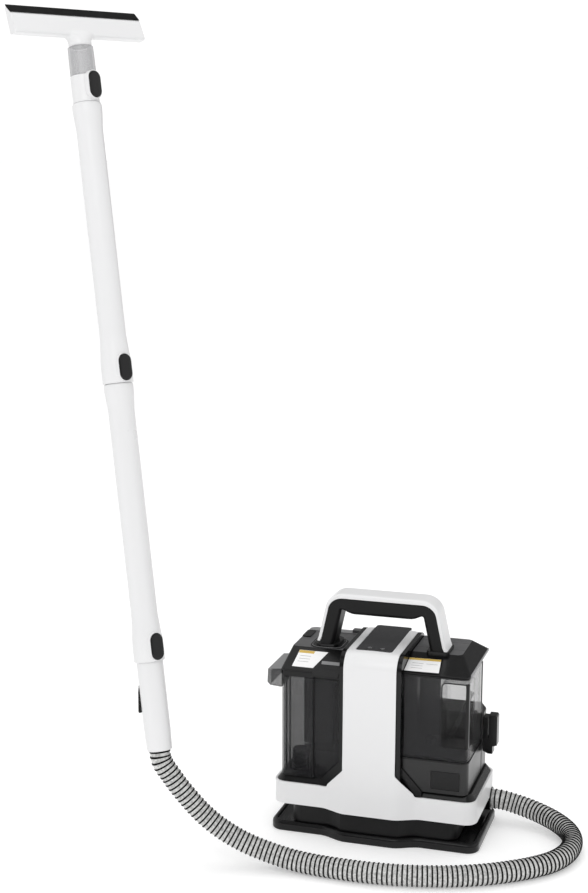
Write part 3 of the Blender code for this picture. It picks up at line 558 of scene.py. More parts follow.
# ------------------------------------------------------------------ outlines
def eased(share: float) -> float:
    """A share held between 0 and 1 that starts and stops gently."""
    share = min(max(share, 0.0), 1.0)
    return share * share * (3 - 2 * share)


def arc(centre: Point2, radius: float, start: float, end: float, steps: int) -> list[Point2]:
    """Points of a circular arc.

    Args:
        centre: its centre.
        radius: its radius.
        start: first angle in degrees.
        end: last angle in degrees.
        steps: how many pieces it is cut into.

    Returns:
        The points, both ends included.
    """
    turns = [math.radians(start + (end - start) * i / steps) for i in range(steps + 1)]
    return [(centre[0] + radius * math.cos(t), centre[1] + radius * math.sin(t)) for t in turns]


def rounded(x0: float, x1: float, y0: float, y1: float, radii: Sequence[float] = (0.0,) * 4,
            steps: int = 8) -> list[Point2]:
    """Rectangle with rounded corners.

    Args:
        x0: left side.
        x1: right side.
        y0: front side.
        y1: back side.
        radii: corner radii, front left, front right, back right, back left.
        steps: pieces in each corner.

    Returns:
        The outline, anticlockwise.
    """
    corners = ((x0, y0, 1, 1, 180), (x1, y0, -1, 1, 270), (x1, y1, -1, -1, 0), (x0, y1, 1, -1, 90))
    points: list[Point2] = []
    for (x, y, sx, sy, start), radius in zip(corners, radii):
        if radius > 0.0:
            points += arc((x + sx * radius, y + sy * radius), radius, start, start + 90, steps)
        else:
            points.append((x, y))
    return points


def inset(outline: Sequence[Point2], distance: float) -> list[Point2]:
    """Move each side of an anticlockwise outline inwards by the same distance."""
    points = [Vector(point) for point in outline]
    moved: list[Point2] = []
    for i, point in enumerate(points):
        before = (point - points[i - 1]).normalized()
        after = (points[(i + 1) % len(points)] - point).normalized()
        normal_before = Vector((-before.y, before.x))
        normal_after = Vector((-after.y, after.x))
        mitre = (normal_before + normal_after) / (1 + normal_before.dot(normal_after))
        moved.append(tuple(point + mitre * distance))
    return moved


def stadium(half_length: float, radius: float, steps: int = 12) -> list[Point2]:
    """Outline with straight sides and round ends, long in its second coordinate."""
    straight = half_length - radius
    return arc((0, straight), radius, 0, 180, steps) + arc((0, -straight), radius, 180, 360, steps)


def bulge_at(x: float) -> float:
    """How far the front stands out at x: full in the middle, fading to nothing each side."""
    return BULGE * eased((BULGE_HALF - abs(x - PILLAR_X)) / BULGE_RUN)


def footprint(half_width: float, front: float, back: float, corner: float, steps: int = 40) -> list[Point2]:
    """Plan of the band or tray, its front edge swelling in the middle.

    Args:
        half_width: half of its width.
        front: its front side, beside the swelling.
        back: its back side.
        corner: its corner radius.
        steps: pieces along the swelling.

    Returns:
        The outline, anticlockwise from the front left corner.
    """
    plain = rounded(-half_width, half_width, front, back, (corner,) * 4)
    xs = [PILLAR_X - BULGE_HALF + 2 * BULGE_HALF * i / steps for i in range(steps + 1)]
    return plain[:9] + [(x, front - bulge_at(x)) for x in xs] + plain[9:]


def at_level(outline: Sequence[Point2], level: float, axis: Axis = Axis.Z) -> Ring:
    """Put an outline at a level along an axis."""
    return [tuple((first, second, level)[i] for i in axis.value) for first, second in outline]


def turn_to_side(x: float) -> Matrix:
    """Frame on the hose's socket axis at an x, Z pointing out to the right."""
    return Matrix.Translation((x, HOSE_Y, HOSE_Z)) @ Matrix.Rotation(math.radians(90), 4, "Y")


# ------------------------------------------------------------------ mesh work
def piece_from(name: str, bm: bmesh.types.BMesh, finishes: Sequence[Finish],
               place: Matrix | None = None) -> Object:
    """Turn a bmesh into a shown object.

    Args:
        name: the piece's name.
        bm: its mesh, used up here.
        finishes: its material slots.
        place: the frame that the mesh is drawn in.

    Returns:
        The object, its mesh in the machine's frame.
    """
    if place is not None:
        bm.transform(place)
    bmesh.ops.remove_doubles(bm, verts=bm.verts, dist=1e-7)
    bmesh.ops.recalc_face_normals(bm, faces=bm.faces)
    mesh = bpy.data.meshes.new(name)
    bm.to_mesh(mesh)
    bm.free()
    for finish in finishes:
        mesh.materials.append(finish.material())
    obj = bpy.data.objects.new(name, mesh)
    bpy.context.scene.collection.objects.link(obj)
    return obj


def skin_rings(rings: Sequence[Ring], closed: bool = False) -> bmesh.types.BMesh:
    """Join rings of equal point count in order.

    Args:
        rings: the rings.
        closed: whether the last ring joins the first; if not, both ends get a face.

    Returns:
        The mesh.
    """
    bm = bmesh.new()
    loops = [[bm.verts.new(point) for point in ring] for ring in rings]
    pairs = list(zip(loops, loops[1:]))
    if closed:
        pairs.append((loops[-1], loops[0]))
    count = len(loops[0])
    for low, high in pairs:
        for i in range(count):
            j = (i + 1) % count
            bm.faces.new((low[i], low[j], high[j], high[i]))
    if not closed:
        bm.faces.new(loops[0])
        bm.faces.new(loops[-1])
    return bm


def loft(name: str, rings: Sequence[Ring], finish: Finish, closed: bool = False,
         place: Matrix | None = None) -> Object:
    """Make a piece from rings."""
    return piece_from(name, skin_rings(rings, closed), [finish], place)


def turned(name: str, profile: Sequence[Point2], finish: Finish, place: Matrix, closed: bool = False,
           steps: int = 72) -> Object:
    """Turn a (radius, height) profile about Z.

    Args:
        name: the piece's name.
        profile: its points, in order.
        finish: its finish.
        place: the frame that it is drawn in.
        closed: whether the profile closes on itself round a bore.
        steps: sides round.

    Returns:
        The piece.
    """
    turns = [2 * math.pi * i / steps for i in range(steps)]
    rings = [[(r * math.cos(t), r * math.sin(t), z) for t in turns] for r, z in profile]
    return loft(name, rings, finish, closed, place)


def settle(obj: Object) -> None:
    """Apply all of an object's modifiers."""
    graph = bpy.context.evaluated_depsgraph_get()
    mesh = bpy.data.meshes.new_from_object(obj.evaluated_get(graph))
    old = obj.data
    obj.modifiers.clear()
    obj.data = mesh
    bpy.data.meshes.remove(old)


def shape(obj: Object, kind: str, **settings: object) -> None:
    """Apply one modifier.

    Args:
        obj: the piece.
        kind: the modifier's type.
        settings: the properties to set on it.
    """
    modifier = obj.modifiers.new(kind.lower(), kind)
    for name, value in settings.items():
        setattr(modifier, name, value)
    settle(obj)


def combine(obj: Object, other: Object, operation: str = "DIFFERENCE") -> None:
    """Apply one solid to another and drop the second.

    Args:
        obj: the piece that changes.
        other: the solid that is used up.
        operation: DIFFERENCE or UNION.
    """
    shape(obj, "BOOLEAN", operation=operation, object=other, solver="EXACT")
    bpy.data.objects.remove(other, do_unlink=True)


def soften(obj: Object, width: float, segments: int = 3, angle: float = 28.0) -> None:
    """Round the sharp edges.

    Args:
        obj: the piece.
        width: how wide the rounding is.
        segments: pieces across it.
        angle: only edges sharper than this, in degrees.
    """
    shape(obj, "BEVEL", width=width, segments=segments, limit_method="ANGLE",
          angle_limit=math.radians(angle), miter_outer="MITER_ARC")


def shade(obj: Object, angle: float = 50.0) -> None:
    """Shade smooth, with edges sharper than the angle in degrees kept crisp."""
    obj.data.shade_smooth()
    obj.data.set_sharp_from_angle(angle=math.radians(angle))


def smooth(obj: Object, angle: float = 38.0) -> None:
    """Shade smooth, flat faces keeping their own direction."""
    shade(obj, angle)
    shape(obj, "WEIGHTED_NORMAL", keep_sharp=True)


def repaint(obj: Object, finish: Finish, chosen: Callable[[Vector, Vector], bool]) -> None:
    """Give some faces of a piece another finish.

    Args:
        obj: the piece.
        finish: the other finish.
        chosen: says from a face's centre and normal whether it changes.
    """
    obj.data.materials.append(finish.material())
    index = len(obj.data.materials) - 1
    for face in obj.data.polygons:
        if chosen(face.center, face.normal):
            face.material_index = index


def softened_node(node: str, finish: Finish, width: float, segments: int) -> Object:
    """Take a CAD solid's shape, merge its flat faces and round its edges.

    Args:
        node: the CAD node.
        finish: the new piece's finish.
        width: how wide the rounding is.
        segments: pieces across the rounding.

    Returns:
        The new piece.
    """
    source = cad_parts[node]
    bm = bmesh.new()
    bm.from_mesh(source.data)
    bm.transform(source.matrix_world)
    bmesh.ops.remove_doubles(bm, verts=bm.verts, dist=2e-6)
    bmesh.ops.dissolve_limit(bm, angle_limit=math.radians(1.0), verts=bm.verts, edges=bm.edges,
                             delimit={"NORMAL"})
    obj = piece_from(f"{node}_skin", bm, [finish])
    soften(obj, width, segments, 24.0)
    smooth(obj)
    return obj


@dataclass(frozen=True)
class Slab:
    """A flat piece: an outline pushed between two levels along an axis."""

    name: str
    outline: Sequence[Point2]
    low: float
    high: float
    finish: Finish
    axis: Axis = Axis.Z
    ease: float = 0.0

    def solid(self, place: Matrix | None = None, shift: float = 0.0) -> Object:
        """Make the bare solid.

        Args:
            place: the frame that it is drawn in.
            shift: how far its levels move up.

        Returns:
            The solid.
        """
        rings = [at_level(self.outline, shift + level, self.axis) for level in (self.low, self.high)]
        return loft(self.name, rings, self.finish, place=place)

    def make(self, place: Matrix | None = None, shift: float = 0.0) -> Object:
        """Make the solid with its edges eased and its shading smooth."""
        obj = self.solid(place, shift)
        if self.ease:
            soften(obj, self.ease, 2)
        smooth(obj)
        return obj


# ------------------------------------------------------------------ sub-assemblies
@dataclass
class SubAssembly:
    """A group of pieces that are made and dressed together."""

    def fit(self, obj: Object, body: Body, finish: Finish, *nodes: str) -> Object:
        """Put a finished piece on its body and hide the CAD nodes that it stands for.

        Args:
            obj: the piece.
            body: what it rides on.
            finish: not used.
            nodes: the CAD nodes that it replaces.

        Returns:
            The piece.
        """
        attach(obj, body.value)
        if nodes:
            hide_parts(*nodes)
        faces = len(obj.data.polygons)
        LOG.info("%s: %s on %s, %d faces", type(self).__name__, obj.name, body.value, faces)
        return obj

    def seat(self, obj: Object, body: Body, finish: Finish, *nodes: str) -> None:
        """Shade a piece smooth and fit it."""
        smooth(obj)
        self.fit(obj, body, finish, *nodes)

    def slab(self, slab: Slab, body: Body = Body.MACHINE, nodes: Sequence[str] = (),
             place: Matrix | None = None, shift: float = 0.0) -> None:
        """Make a flat piece and fit it.

        Args:
            slab: what it is.
            body: what it rides on.
            nodes: the CAD nodes that it replaces.
            place: the frame that it is drawn in.
            shift: how far its levels move up.
        """
        self.fit(slab.make(place, shift), body, slab.finish, *nodes)

    def copy(self, node: str, finish: Finish, width: float, body: Body = Body.MACHINE,
             segments: int = 3) -> Object:
        """Stand a rounded copy in a CAD node's place.

        Args:
            node: the CAD node.
            finish: the copy's finish.
            width: how wide its rounding is.
            body: what it rides on.
            segments: pieces across the rounding.

        Returns:
            The piece.
        """
        return self.fit(softened_node(node, finish, width, segments), body, finish, node)

    def dress(self, finish: Finish, *nodes: str) -> None:
        """Give CAD nodes that stay a procedural finish."""
        for node in nodes:
            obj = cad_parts[node]
            for slot in obj.material_slots:
                slot.material = finish.material()
            if not obj.material_slots:
                obj.data.materials.append(finish.material())
            LOG.info("%s: %s keeps its shape, in %s", type(self).__name__, node, finish.name)


@dataclass
class Studio:
    """Camera, pale floor, bright surround and soft lights."""

    place: Point3 = (0.6172, -2.4961, 1.1196)
    turn: float = 17.213
    tilt: float = -10.744
    roll: float = 0.109
    lens: float = 66.57
    sensor: float = 36.0
    far: float = 200.0
    floor_half: float = 60.0
    surround: float = 1.08
    side_shade: float = 0.62
    reflected: float = 0.22
    aim: Point3 = (0.0, 0.0, 0.3)
    lamps: tuple[tuple[str, Point3, float, float], ...] = (
        ("key_lamp", (0.2, -3.2, 3.2), 2.4, 30.0),
        ("top_lamp", (-0.4, 0.6, 3.6), 2.6, 15.0),
    )

    def camera(self) -> None:
        """Set up the camera."""
        data = bpy.data.cameras.new("camera")
        data.sensor_fit = "VERTICAL"
        data.sensor_height = self.sensor
        data.lens = self.lens
        data.clip_end = self.far
        camera = bpy.data.objects.new("camera", data)
        matrix = Matrix.Translation(self.place)
        for angle, axis in ((self.turn, "Z"), (90.0 + self.tilt, "X"), (self.roll, "Z")):
            matrix = matrix @ Matrix.Rotation(math.radians(angle), 4, axis)
        camera.matrix_world = matrix
        bpy.context.scene.collection.objects.link(camera)
        bpy.context.scene.camera = camera
        bpy.context.scene.view_settings.view_transform = "Standard"

    def surround_light(self) -> None:
        """Set up a bright surround, darker to the machine's left and right, calm in mirror reflections."""
        world = bpy.data.worlds.new("studio")
        world.use_nodes = True
        bpy.context.scene.world = world
        graph = Graph(world.node_tree)
        parts = graph.add("SeparateXYZ")
        graph.put(graph.add("TexCoord").outputs["Generated"], parts.inputs[0])
        sideways = graph.math("ABSOLUTE", parts.outputs["X"])
        lit = graph.spread(sideways, 0.35, 0.95, self.surround, self.surround * (1.0 - self.side_shade))
        mirrored = graph.spread(sideways, 0.30, 0.85, self.reflected, self.surround)
        path = graph.add("LightPath")
        glossy = path.outputs["Is Glossy Ray"]
        calm = graph.math("MULTIPLY", glossy, mirrored)
        soft = graph.math("MULTIPLY", graph.math("SUBTRACT", 1.0, glossy), lit)
        seen = graph.math("MULTIPLY", path.outputs["Is Camera Ray"], self.surround)
        strength = graph.math("MAXIMUM", graph.math("ADD", soft, calm), seen)
        graph.feed(world.node_tree.nodes["Background"], Color=(1.0, 1.0, 1.0, 1.0), Strength=strength)

    def floor(self) -> None:
        """Lay a pale floor that runs to the horizon."""
        half = self.floor_half
        bm = bmesh.new()
        bm.faces.new([bm.verts.new((x, y, 0.0)) for x, y in rounded(-half, half, -half, half)])
        piece_from("floor", bm, [FLOOR])

    def lamp(self, name: str, place: Point3, size: float, power: float) -> None:
        """Hang a square soft lamp that faces the machine.

        Args:
            name: its name.
            place: where it hangs.
            size: its side.
            power: its power in watts.
        """
        data = bpy.data.lights.new(name, "AREA")
        data.size = size
        data.energy = power
        lamp = bpy.data.objects.new(name, data)
        lamp.location = place
        lamp.rotation_euler = (Vector(self.aim) - Vector(place)).to_track_quat("-Z", "Y").to_euler()
        bpy.context.scene.collection.objects.link(lamp)

    def build(self) -> None:
        """Set up everything in the studio."""
        self.camera()
        self.surround_light()
        self.floor()
        for lamp in self.lamps:
            self.lamp(*lamp)
        LOG.info("studio: camera, surround, floor and %d lamps", len(self.lamps))


@dataclass
class Hose(SubAssembly):
    """Ribbed suction hose from the machine's side to the wand's foot."""

    exit: Point3 = (0.1693, HOSE_Y, HOSE_Z)
    diameter: float = 0.033
    lead: float = 0.008
    rib_radius: float = 0.0164
    film_radius: float = 0.0154
    film_sag: float = 0.0002
    pitch: float = 0.0074
    rib_width: float = 0.0025
    sides: int = 36
    fineness: int = 24
    rib_rows: tuple[int, ...] = (3, 4, 5)
    route: tuple[Point3, ...] = (
        (0.2145, 0.0640, 0.0320), (0.2515, 0.0535, 0.0260), (0.2830, 0.0320, 0.0225),
        (0.3055, 0.0025, 0.0205), (0.3145, -0.0305, 0.0190), (0.3110, -0.0660, 0.0175),
        (0.2950, -0.1010, 0.0167), (0.2690, -0.1305, 0.0166), (0.2390, -0.1545, 0.0166),
        (0.2070, -0.1750, 0.0166), (0.1735, -0.1915, 0.0166), (0.1375, -0.2045, 0.0166),
        (0.1005, -0.2140, 0.0166), (0.0635, -0.2205, 0.0166), (0.0255, -0.2240, 0.0166),
        (-0.0125, -0.2245, 0.0166), (-0.0505, -0.2230, 0.0168), (-0.0890, -0.2225, 0.0200),
        (-0.1270, -0.2250, 0.0288), (-0.1630, -0.2300, 0.0420), (-0.1965, -0.2345, 0.0600),
        (-0.2265, -0.2385, 0.0830), (-0.2525, -0.2425, 0.1110), (-0.2760, -0.2465, 0.1420),
    )

    def line(self) -> list[Vector]:
        """Fine points on the hose's middle line, start to end."""
        start = Vector(self.exit)
        end = WAND_END - WAND_AXIS * GAP
        out = Vector((1.0, 0.0, 0.0))
        knots = [start + out * self.lead, *map(Vector, self.route), end - WAND_AXIS * self.lead]
        first = out * (2 * (knots[1] - knots[0]).length)
        last = WAND_AXIS * (2 * (knots[-1] - knots[-2]).length)
        ghosts = [knots[1] - first, *knots, knots[-2] + last]
        fine = [start]
        for near in zip(ghosts, ghosts[1:], ghosts[2:], ghosts[3:]):
            fine += [self.between(*near, k / self.fineness) for k in range(self.fineness)]
        return [*fine, knots[-1], end]

    @staticmethod
    def between(p0: Vector, p1: Vector, p2: Vector, p3: Vector, t: float) -> Vector:
        """Point between p1 and p2 on the smooth curve that also heeds their neighbours."""
        bend = 2 * p0 - 5 * p1 + 4 * p2 - p3
        twist = 3 * p1 - 3 * p2 + p3 - p0
        return 0.5 * (2 * p1 + (p2 - p0) * t + bend * t * t + twist * t * t * t)

    @staticmethod
    def walk(line: Sequence[Vector], goals: Sequence[float], travel: Sequence[float]) -> list[Vector]:
        """Read points off the line at given distances along it.

        Args:
            line: the fine points.
            goals: rising distances.
            travel: the distance at each fine point.

        Returns:
            One point for each distance.
        """
        found = []
        index = 0
        for goal in goals:
            while index < len(travel) - 2 and travel[index + 1] < goal:
                index += 1
            share = (goal - travel[index]) / (travel[index + 1] - travel[index])
            found.append(line[index].lerp(line[index + 1], min(share, 1.0)))
        return found

    def profile(self, pitch: float) -> list[Point2]:
        """One rib with its film, as (distance along, radius), for a given spacing of the ribs."""
        low = self.film_radius - self.film_sag
        half = self.rib_width / 2
        rib = pitch * 0.80
        film = [(0.0, low), (pitch * 0.30, self.film_radius), (pitch * 0.62, low), (rib - half, low)]
        top = [(rib - half * 0.8, self.rib_radius), (rib + half * 0.8, self.rib_radius)]
        return film + top + [(rib + half, low)]

    def sweep(self, centres: Sequence[Vector], radii: Sequence[float]) -> list[Ring]:
        """Put a round ring at each point of the middle line, without twist.

        Args:
            centres: the points.
            radii: the radius at each.

        Returns:
            The rings.
        """
        turns = [2 * math.pi * k / self.sides for k in range(self.sides)]
        rings: list[Ring] = []
        across = Vector((0.0, 0.0, 1.0))
        for i, (centre, radius) in enumerate(zip(centres, radii)):
            ahead = (centres[min(i + 1, len(centres) - 1)] - centres[max(i - 1, 0)]).normalized()
            across = (across - ahead * across.dot(ahead)).normalized()
            side = ahead.cross(across)
            ring = [centre + (across * math.cos(t) + side * math.sin(t)) * radius for t in turns]
            rings.append([tuple(point) for point in ring])
        return rings

    def build(self) -> None:
        line = self.line()
        travel = [0.0]
        for before, after in zip(line, line[1:]):
            travel.append(travel[-1] + (after - before).length)
        length = travel[-1]
        ribs = round(length / self.pitch)
        pitch = length / ribs
        steps = self.profile(pitch)
        goals = [pitch * rib + at for rib in range(ribs) for at, _ in steps]
        centres = [*self.walk(line, goals, travel), line[-1]]
        radii = [radius for _, radius in steps] * ribs + [self.film_radius]
        obj = piece_from("ribbed_hose", skin_rings(self.sweep(centres, radii)), [FILM, RIB])
        walls = self.sides * (len(centres) - 1)
        for face in obj.data.polygons:
            if face.index < walls and face.index // self.sides % len(steps) in self.rib_rows:
                face.material_index = 1
        shade(obj)
        self.fit(obj, Body.MACHINE, FILM, "vacuum_hose")
        LOG.info("hose: %.3f m long with %d ribs", length, ribs)


@dataclass
class FootTray(SubAssembly):
    """Black tray, its rubber feet, the plinth and the hose socket."""

    half_width: float = 0.172
    front: float = -0.080
    back: float = 0.092
    corner: float = 0.020
    edge: tuple[Point2, ...] = (
        (0.0015, 0.0), (0.0004, 0.0010), (0.0, 0.0025), (0.0, 0.0105), (0.0005, 0.0122), (0.0016, 0.0140),
        (0.0032, 0.0153), (0.0052, 0.016), (0.0072, 0.016), (0.0080, 0.0154), (0.0088, 0.0140),
        (0.0096, 0.0130), (0.0110, 0.0126),
    )
    feet: tuple[Point2, ...] = ((-0.145, -0.056), (-0.145, 0.068), (0.145, -0.056), (0.145, 0.068))
    pocket: tuple[Point2, ...] = ((0.0113, -0.002), (0.0113, 0.0033))
    socket_start: float = 0.122
    socket: tuple[Point2, ...] = (
        (0.0190, 0.0), (0.0190, 0.0460), (0.0184, 0.0468), (0.0130, 0.0468), (0.0125, 0.0460), (0.0125, 0.0),
    )

    def build(self) -> None:
        """Make the tray and the socket, and dress the feet and the plinth."""
        plan = footprint(self.half_width, self.front, self.back, self.corner)
        tray = loft("foot_tray", [at_level(inset(plan, depth), z) for depth, z in self.edge], BLACK)
        for x, y in self.feet:
            combine(tray, turned("pocket", self.pocket, BLACK, Matrix.Translation((x, y, 0.0)), steps=40))
        self.seat(tray, Body.MACHINE, BLACK, "base_tray")
        self.dress(RUBBER, *(f"rubber_foot_{index}" for index in range(1, 5)))
        self.copy("base_plinth", SATIN, 0.0010)
        collar = turned("hose_socket", self.socket, BLACK, turn_to_side(self.socket_start), closed=True)
        self.seat(collar, Body.MACHINE, BLACK, "hose_connector")


@dataclass
class BodyShell(SubAssembly):
    """White band and hoop, made as one skin with an even wall."""

    half_width: float = 0.1675
    corner: float = 0.020
    wall: float = 0.003
    ramp_run: float = 0.033
    ramp_rise: float = 0.036
    ramp_ease: float = 0.06
    bend: float = 0.028
    crown: float = 0.0015
    edge_drop: float = 0.0008
    run: float = 0.098
    run_steps: int = 60
    corner_points: int = 9
    across: tuple[float, ...] = (0.0, 0.012, 0.03, 0.06, 0.12, 0.25, 0.5, 0.75, 0.88, 0.94, 0.97, 0.988, 1.0)
    window: Slab = Slab("window", rounded(-0.0335, 0.0265, -0.067, 0.078, (0.006,) * 4), 0.30, 0.33, WHITE)

    def plan(self) -> list[Point2]:
        """The band's plan without its swelling."""
        return rounded(-self.half_width, self.half_width, BAND_FRONT, BAND_BACK, (self.corner,) * 4)

    def rim(self, x: float, y: float) -> float:
        """Top edge of the band: it climbs in a ramp to meet the pillar, front only."""
        if y > 0:
            return BAND_TOP
        share = (PILLAR_HALF + self.ramp_run - abs(x - PILLAR_X)) / self.ramp_run
        share = min(max(share, 0.0), 1.0)
        if share < self.ramp_ease * 2:
            share = share * share / (self.ramp_ease * 4)
        return BAND_TOP + self.ramp_rise * share

    def hoop_line(self) -> list[Point2]:
        """Side view of the hoop's outside, (y, z), from the band's top edge over to its back foot."""
        front = BAND_FRONT - BULGE
        start = BAND_TOP + self.ramp_rise
        rise = HOOP_TOP - self.bend
        line = [(front, start + (rise - start) * share) for share in (0.06, 0.14, 0.4, 0.7)]
        line += arc((front + self.bend, rise), self.bend, 180, 90, 14)
        line += arc((HOOP_BACK - self.bend, rise), self.bend, 90, 0, 14)
        return line + [(HOOP_BACK, 0.20), (HOOP_BACK, BAND_TOP - 0.012)]

    def hoop_row(self, xs: Sequence[float], y: float, z: float, fade: float) -> Ring:
        """Points across the hoop, crowned in the middle and dropping at both edges.

        Args:
            xs: their x.
            y: the hoop's y there.
            z: the hoop's height there.
            fade: how much of the crown is there, 0 to 1.

        Returns:
            The points.
        """
        row: Ring = []
        for share, x in zip(self.across, xs):
            aside = abs(2 * share - 1)
            edge = max(0.0, aside - 0.88) / 0.12
            drop = fade * (self.crown * aside ** 2 + self.edge_drop * edge * edge)
            inward = drop if y < 0 else -drop
            row.append((x, y + inward, z - (drop if z > HOOP_TOP - self.bend else 0.0)))
        return row

    def skin(self) -> bmesh.types.BMesh:
        """Outside skin of band and hoop, open at its edges."""
        x0 = PILLAR_X - PILLAR_HALF
        plain = self.plan()
        left = [x0 - self.run * (1 - i / self.run_steps) for i in range(self.run_steps)]
        middle = [x0 + 2 * PILLAR_HALF * share for share in self.across]
        right = [2 * PILLAR_X - x for x in reversed(left)]
        front = [(x, BAND_FRONT - bulge_at(x)) for x in left + middle + right]
        plan = plain[:self.corner_points] + front + plain[self.corner_points:]
        bm = bmesh.new()
        low = [bm.verts.new((x, y, BAND_LOW)) for x, y in plan]
        high = [bm.verts.new((x, y, self.rim(x, y))) for x, y in plan]
        for i in range(len(plan)):
            j = (i + 1) % len(plan)
            bm.faces.new((low[i], low[j], high[j], high[i]))
        first = self.corner_points + len(left)
        row = high[first:first + len(middle)]
        for index, (y, z) in enumerate(self.hoop_line()):
            fresh = [bm.verts.new(point) for point in self.hoop_row(middle, y, z, min(index / 3, 1.0))]
            for i in range(len(fresh) - 1):
                bm.faces.new((row[i], row[i + 1], fresh[i + 1], fresh[i]))
            row = fresh
        return bm

    def build(self) -> None:
        """Make the shell and its floor."""
        shell = piece_from("white_shell", self.skin(), [WHITE])
        shape(shell, "SOLIDIFY", thickness=self.wall, offset=-1.0, use_even_offset=True)
        combine(shell, self.window.solid())
        combine(shell, turned("hose_way", [(HOSE_WAY, 0.0), (HOSE_WAY, 0.05)], WHITE, turn_to_side(0.140)))
        soften(shell, 0.0007, 3, 40.0)
        self.seat(shell, Body.MACHINE, WHITE, "body_shell")
        plan = inset(self.plan(), self.wall + 0.0001)
        base = Slab("white_shell_floor", plan, BAND_LOW + 0.0004, BAND_LOW + self.wall, WHITE).solid()
        combine(base, turned("floor_way", [(HOSE_WAY, 0.0), (HOSE_WAY, 0.09)], WHITE, turn_to_side(0.100)))
        self.seat(base, Body.MACHINE, WHITE)


@dataclass
class Chassis(SubAssembly):
    """Black inner frame: the duct behind the hoop, both bay floors, the liners and the rear parts."""

    liner_front: float = -0.0785
    liner_back: float = -0.0764
    liner_outline: tuple[Point2, ...] = (
        (0.0410, 0.150), (0.0505, 0.150), (0.0505, 0.1310), (0.0835, 0.0955), (0.0835, 0.0852),
        (0.0755, 0.0852), (0.0410, 0.1185),
    )
    cheek_inset: float = 0.0022
    cheek_front_inset: float = 0.0046
    cheek_low: float = 0.096
    cheek_outer: float = 0.0504
    cheek_gap: float = 0.0002
    cheek_bend: float = 0.026
    copies: tuple[tuple[str, float], ...] = (
        ("chassis_spine", 0.0012), ("left_bay_floor", 0.0014), ("right_bay_floor", 0.0014),
    )
    hook: Slab = Slab("side_hook_skin", (
        (0.1547, 0.128), (0.1635, 0.124), (0.1710, 0.124), (0.1710, 0.137), (0.1780, 0.139), (0.1780, 0.187),
        (0.1760, 0.190), (0.1640, 0.190), (0.1640, 0.150), (0.1628, 0.150), (0.1628, 0.186), (0.1547, 0.186),
    ), 0.0410, 0.0600, BLACK, Axis.Y, 0.0008)

    def liner(self, name: str, side: int) -> None:
        """Make the black sloping liner beside the pillar's foot, on side -1 or 1."""
        points = [(PILLAR_X + side * x, z) for x, z in self.liner_outline]
        self.slab(Slab(name, points, self.liner_front, self.liner_back, BLACK, Axis.Y, 0.0005))

    def cheek(self, name: str, x0: float, x1: float) -> None:
        """Make the black side plate that follows the hoop's bends.

        Args:
            name: the piece's name.
            x0: its left face.
            x1: its right face.
        """
        front = BAND_FRONT - BULGE + self.cheek_front_inset
        back = HOOP_BACK - self.cheek_inset
        bend = self.cheek_bend
        rise = HOOP_TOP - self.cheek_inset - bend
        outline = [(back, self.cheek_low), (front, self.cheek_low)]
        outline += arc((front + bend, rise), bend, 180, 90, 12)
        outline += arc((back - bend, rise), bend, 90, 0, 12)
        self.slab(Slab(name, outline, x0, x1, BLACK, Axis.X, 0.0006))

    def build(self) -> None:
        """Make the chassis pieces."""
        near = PILLAR_HALF + self.cheek_gap
        self.cheek("left_hoop_cheek", PILLAR_X - self.cheek_outer, PILLAR_X - near)
        self.cheek("right_hoop_cheek", PILLAR_X + near, PILLAR_X + self.cheek_outer)
        for node, width in self.copies:
            self.copy(node, BLACK, width)
        self.liner("left_bay_liner", -1)
        self.liner("right_bay_liner", 1)
        self.slab(self.hook, nodes=["side_hook"])
        self.copy("cord_inlet", SATIN, 0.0006)


@dataclass(frozen=True)
class Label:
    """A plain label: its paper and gold bar on the slope, and where each blank rule starts."""

    paper: Sequence[Point2]
    bar: Sequence[Point2]
    rules: Sequence[Point2]


@dataclass
class Deck(SubAssembly):
    """One sloping top cover with its grey top plates and its label."""

    name: str
    sides: Point2
    top_box: tuple[float, float, float, float]
    low: float
    top: float
    low_radii: tuple[float, ...]
    top_radii: tuple[float, ...]
    plates: tuple[Slab, ...]
    slope_plates: tuple[Slab, ...]
    label: Label
    skirt: float = 0.002
    rule_size: Point2 = (0.018, 0.0011)

    def slope(self) -> Matrix:
        """Frame on the front slope: X across, Y up the slope, Z out of it."""
        base = self.low + self.skirt
        up = Vector((0.0, self.top_box[2] - BAND_FRONT, self.top - self.low - self.skirt)).normalized()
        across = Vector((1.0, 0.0, 0.0))
        place = Matrix((across, up, across.cross(up))).transposed().to_4x4()
        place.translation = Vector((0.0, BAND_FRONT, base))
        return place

    def cover(self) -> None:
        """Make the sloping cover."""
        low_plan = rounded(*self.sides, BAND_FRONT, BAND_BACK, self.low_radii, 6)
        top_plan = rounded(*self.top_box, self.top_radii, 6)
        levels = ((low_plan, self.low), (low_plan, self.low + self.skirt), (top_plan, self.top))
        obj = loft(f"{self.name}_cover", [at_level(plan, z) for plan, z in levels], BLACK)
        soften(obj, 0.0011, 3, 12.0)
        self.seat(obj, Body.MACHINE, BLACK, self.name)

    def build(self) -> None:
        """Make the cover, its plates and its label."""
        self.cover()
        for plate in self.plates:
            self.slab(plate, shift=self.top)
        name = f"{self.name}_label"
        slips = [*self.slope_plates, Slab(name, self.label.paper, 0.0, 0.00025, PAPER, ease=0.00008),
                 Slab(f"{name}_bar", self.label.bar, 0.0002, 0.00034, GOLD, ease=0.00004)]
        wide, high = self.rule_size
        for index, (x, y) in enumerate(self.label.rules, start=1):
            rule = rounded(x, x + wide, y, y + high)
            slips.append(Slab(f"{name}_rule_{index}", rule, 0.0002, 0.00030, PRINT, ease=0.00004))
        for slip in slips:
            self.slab(slip, place=self.slope())


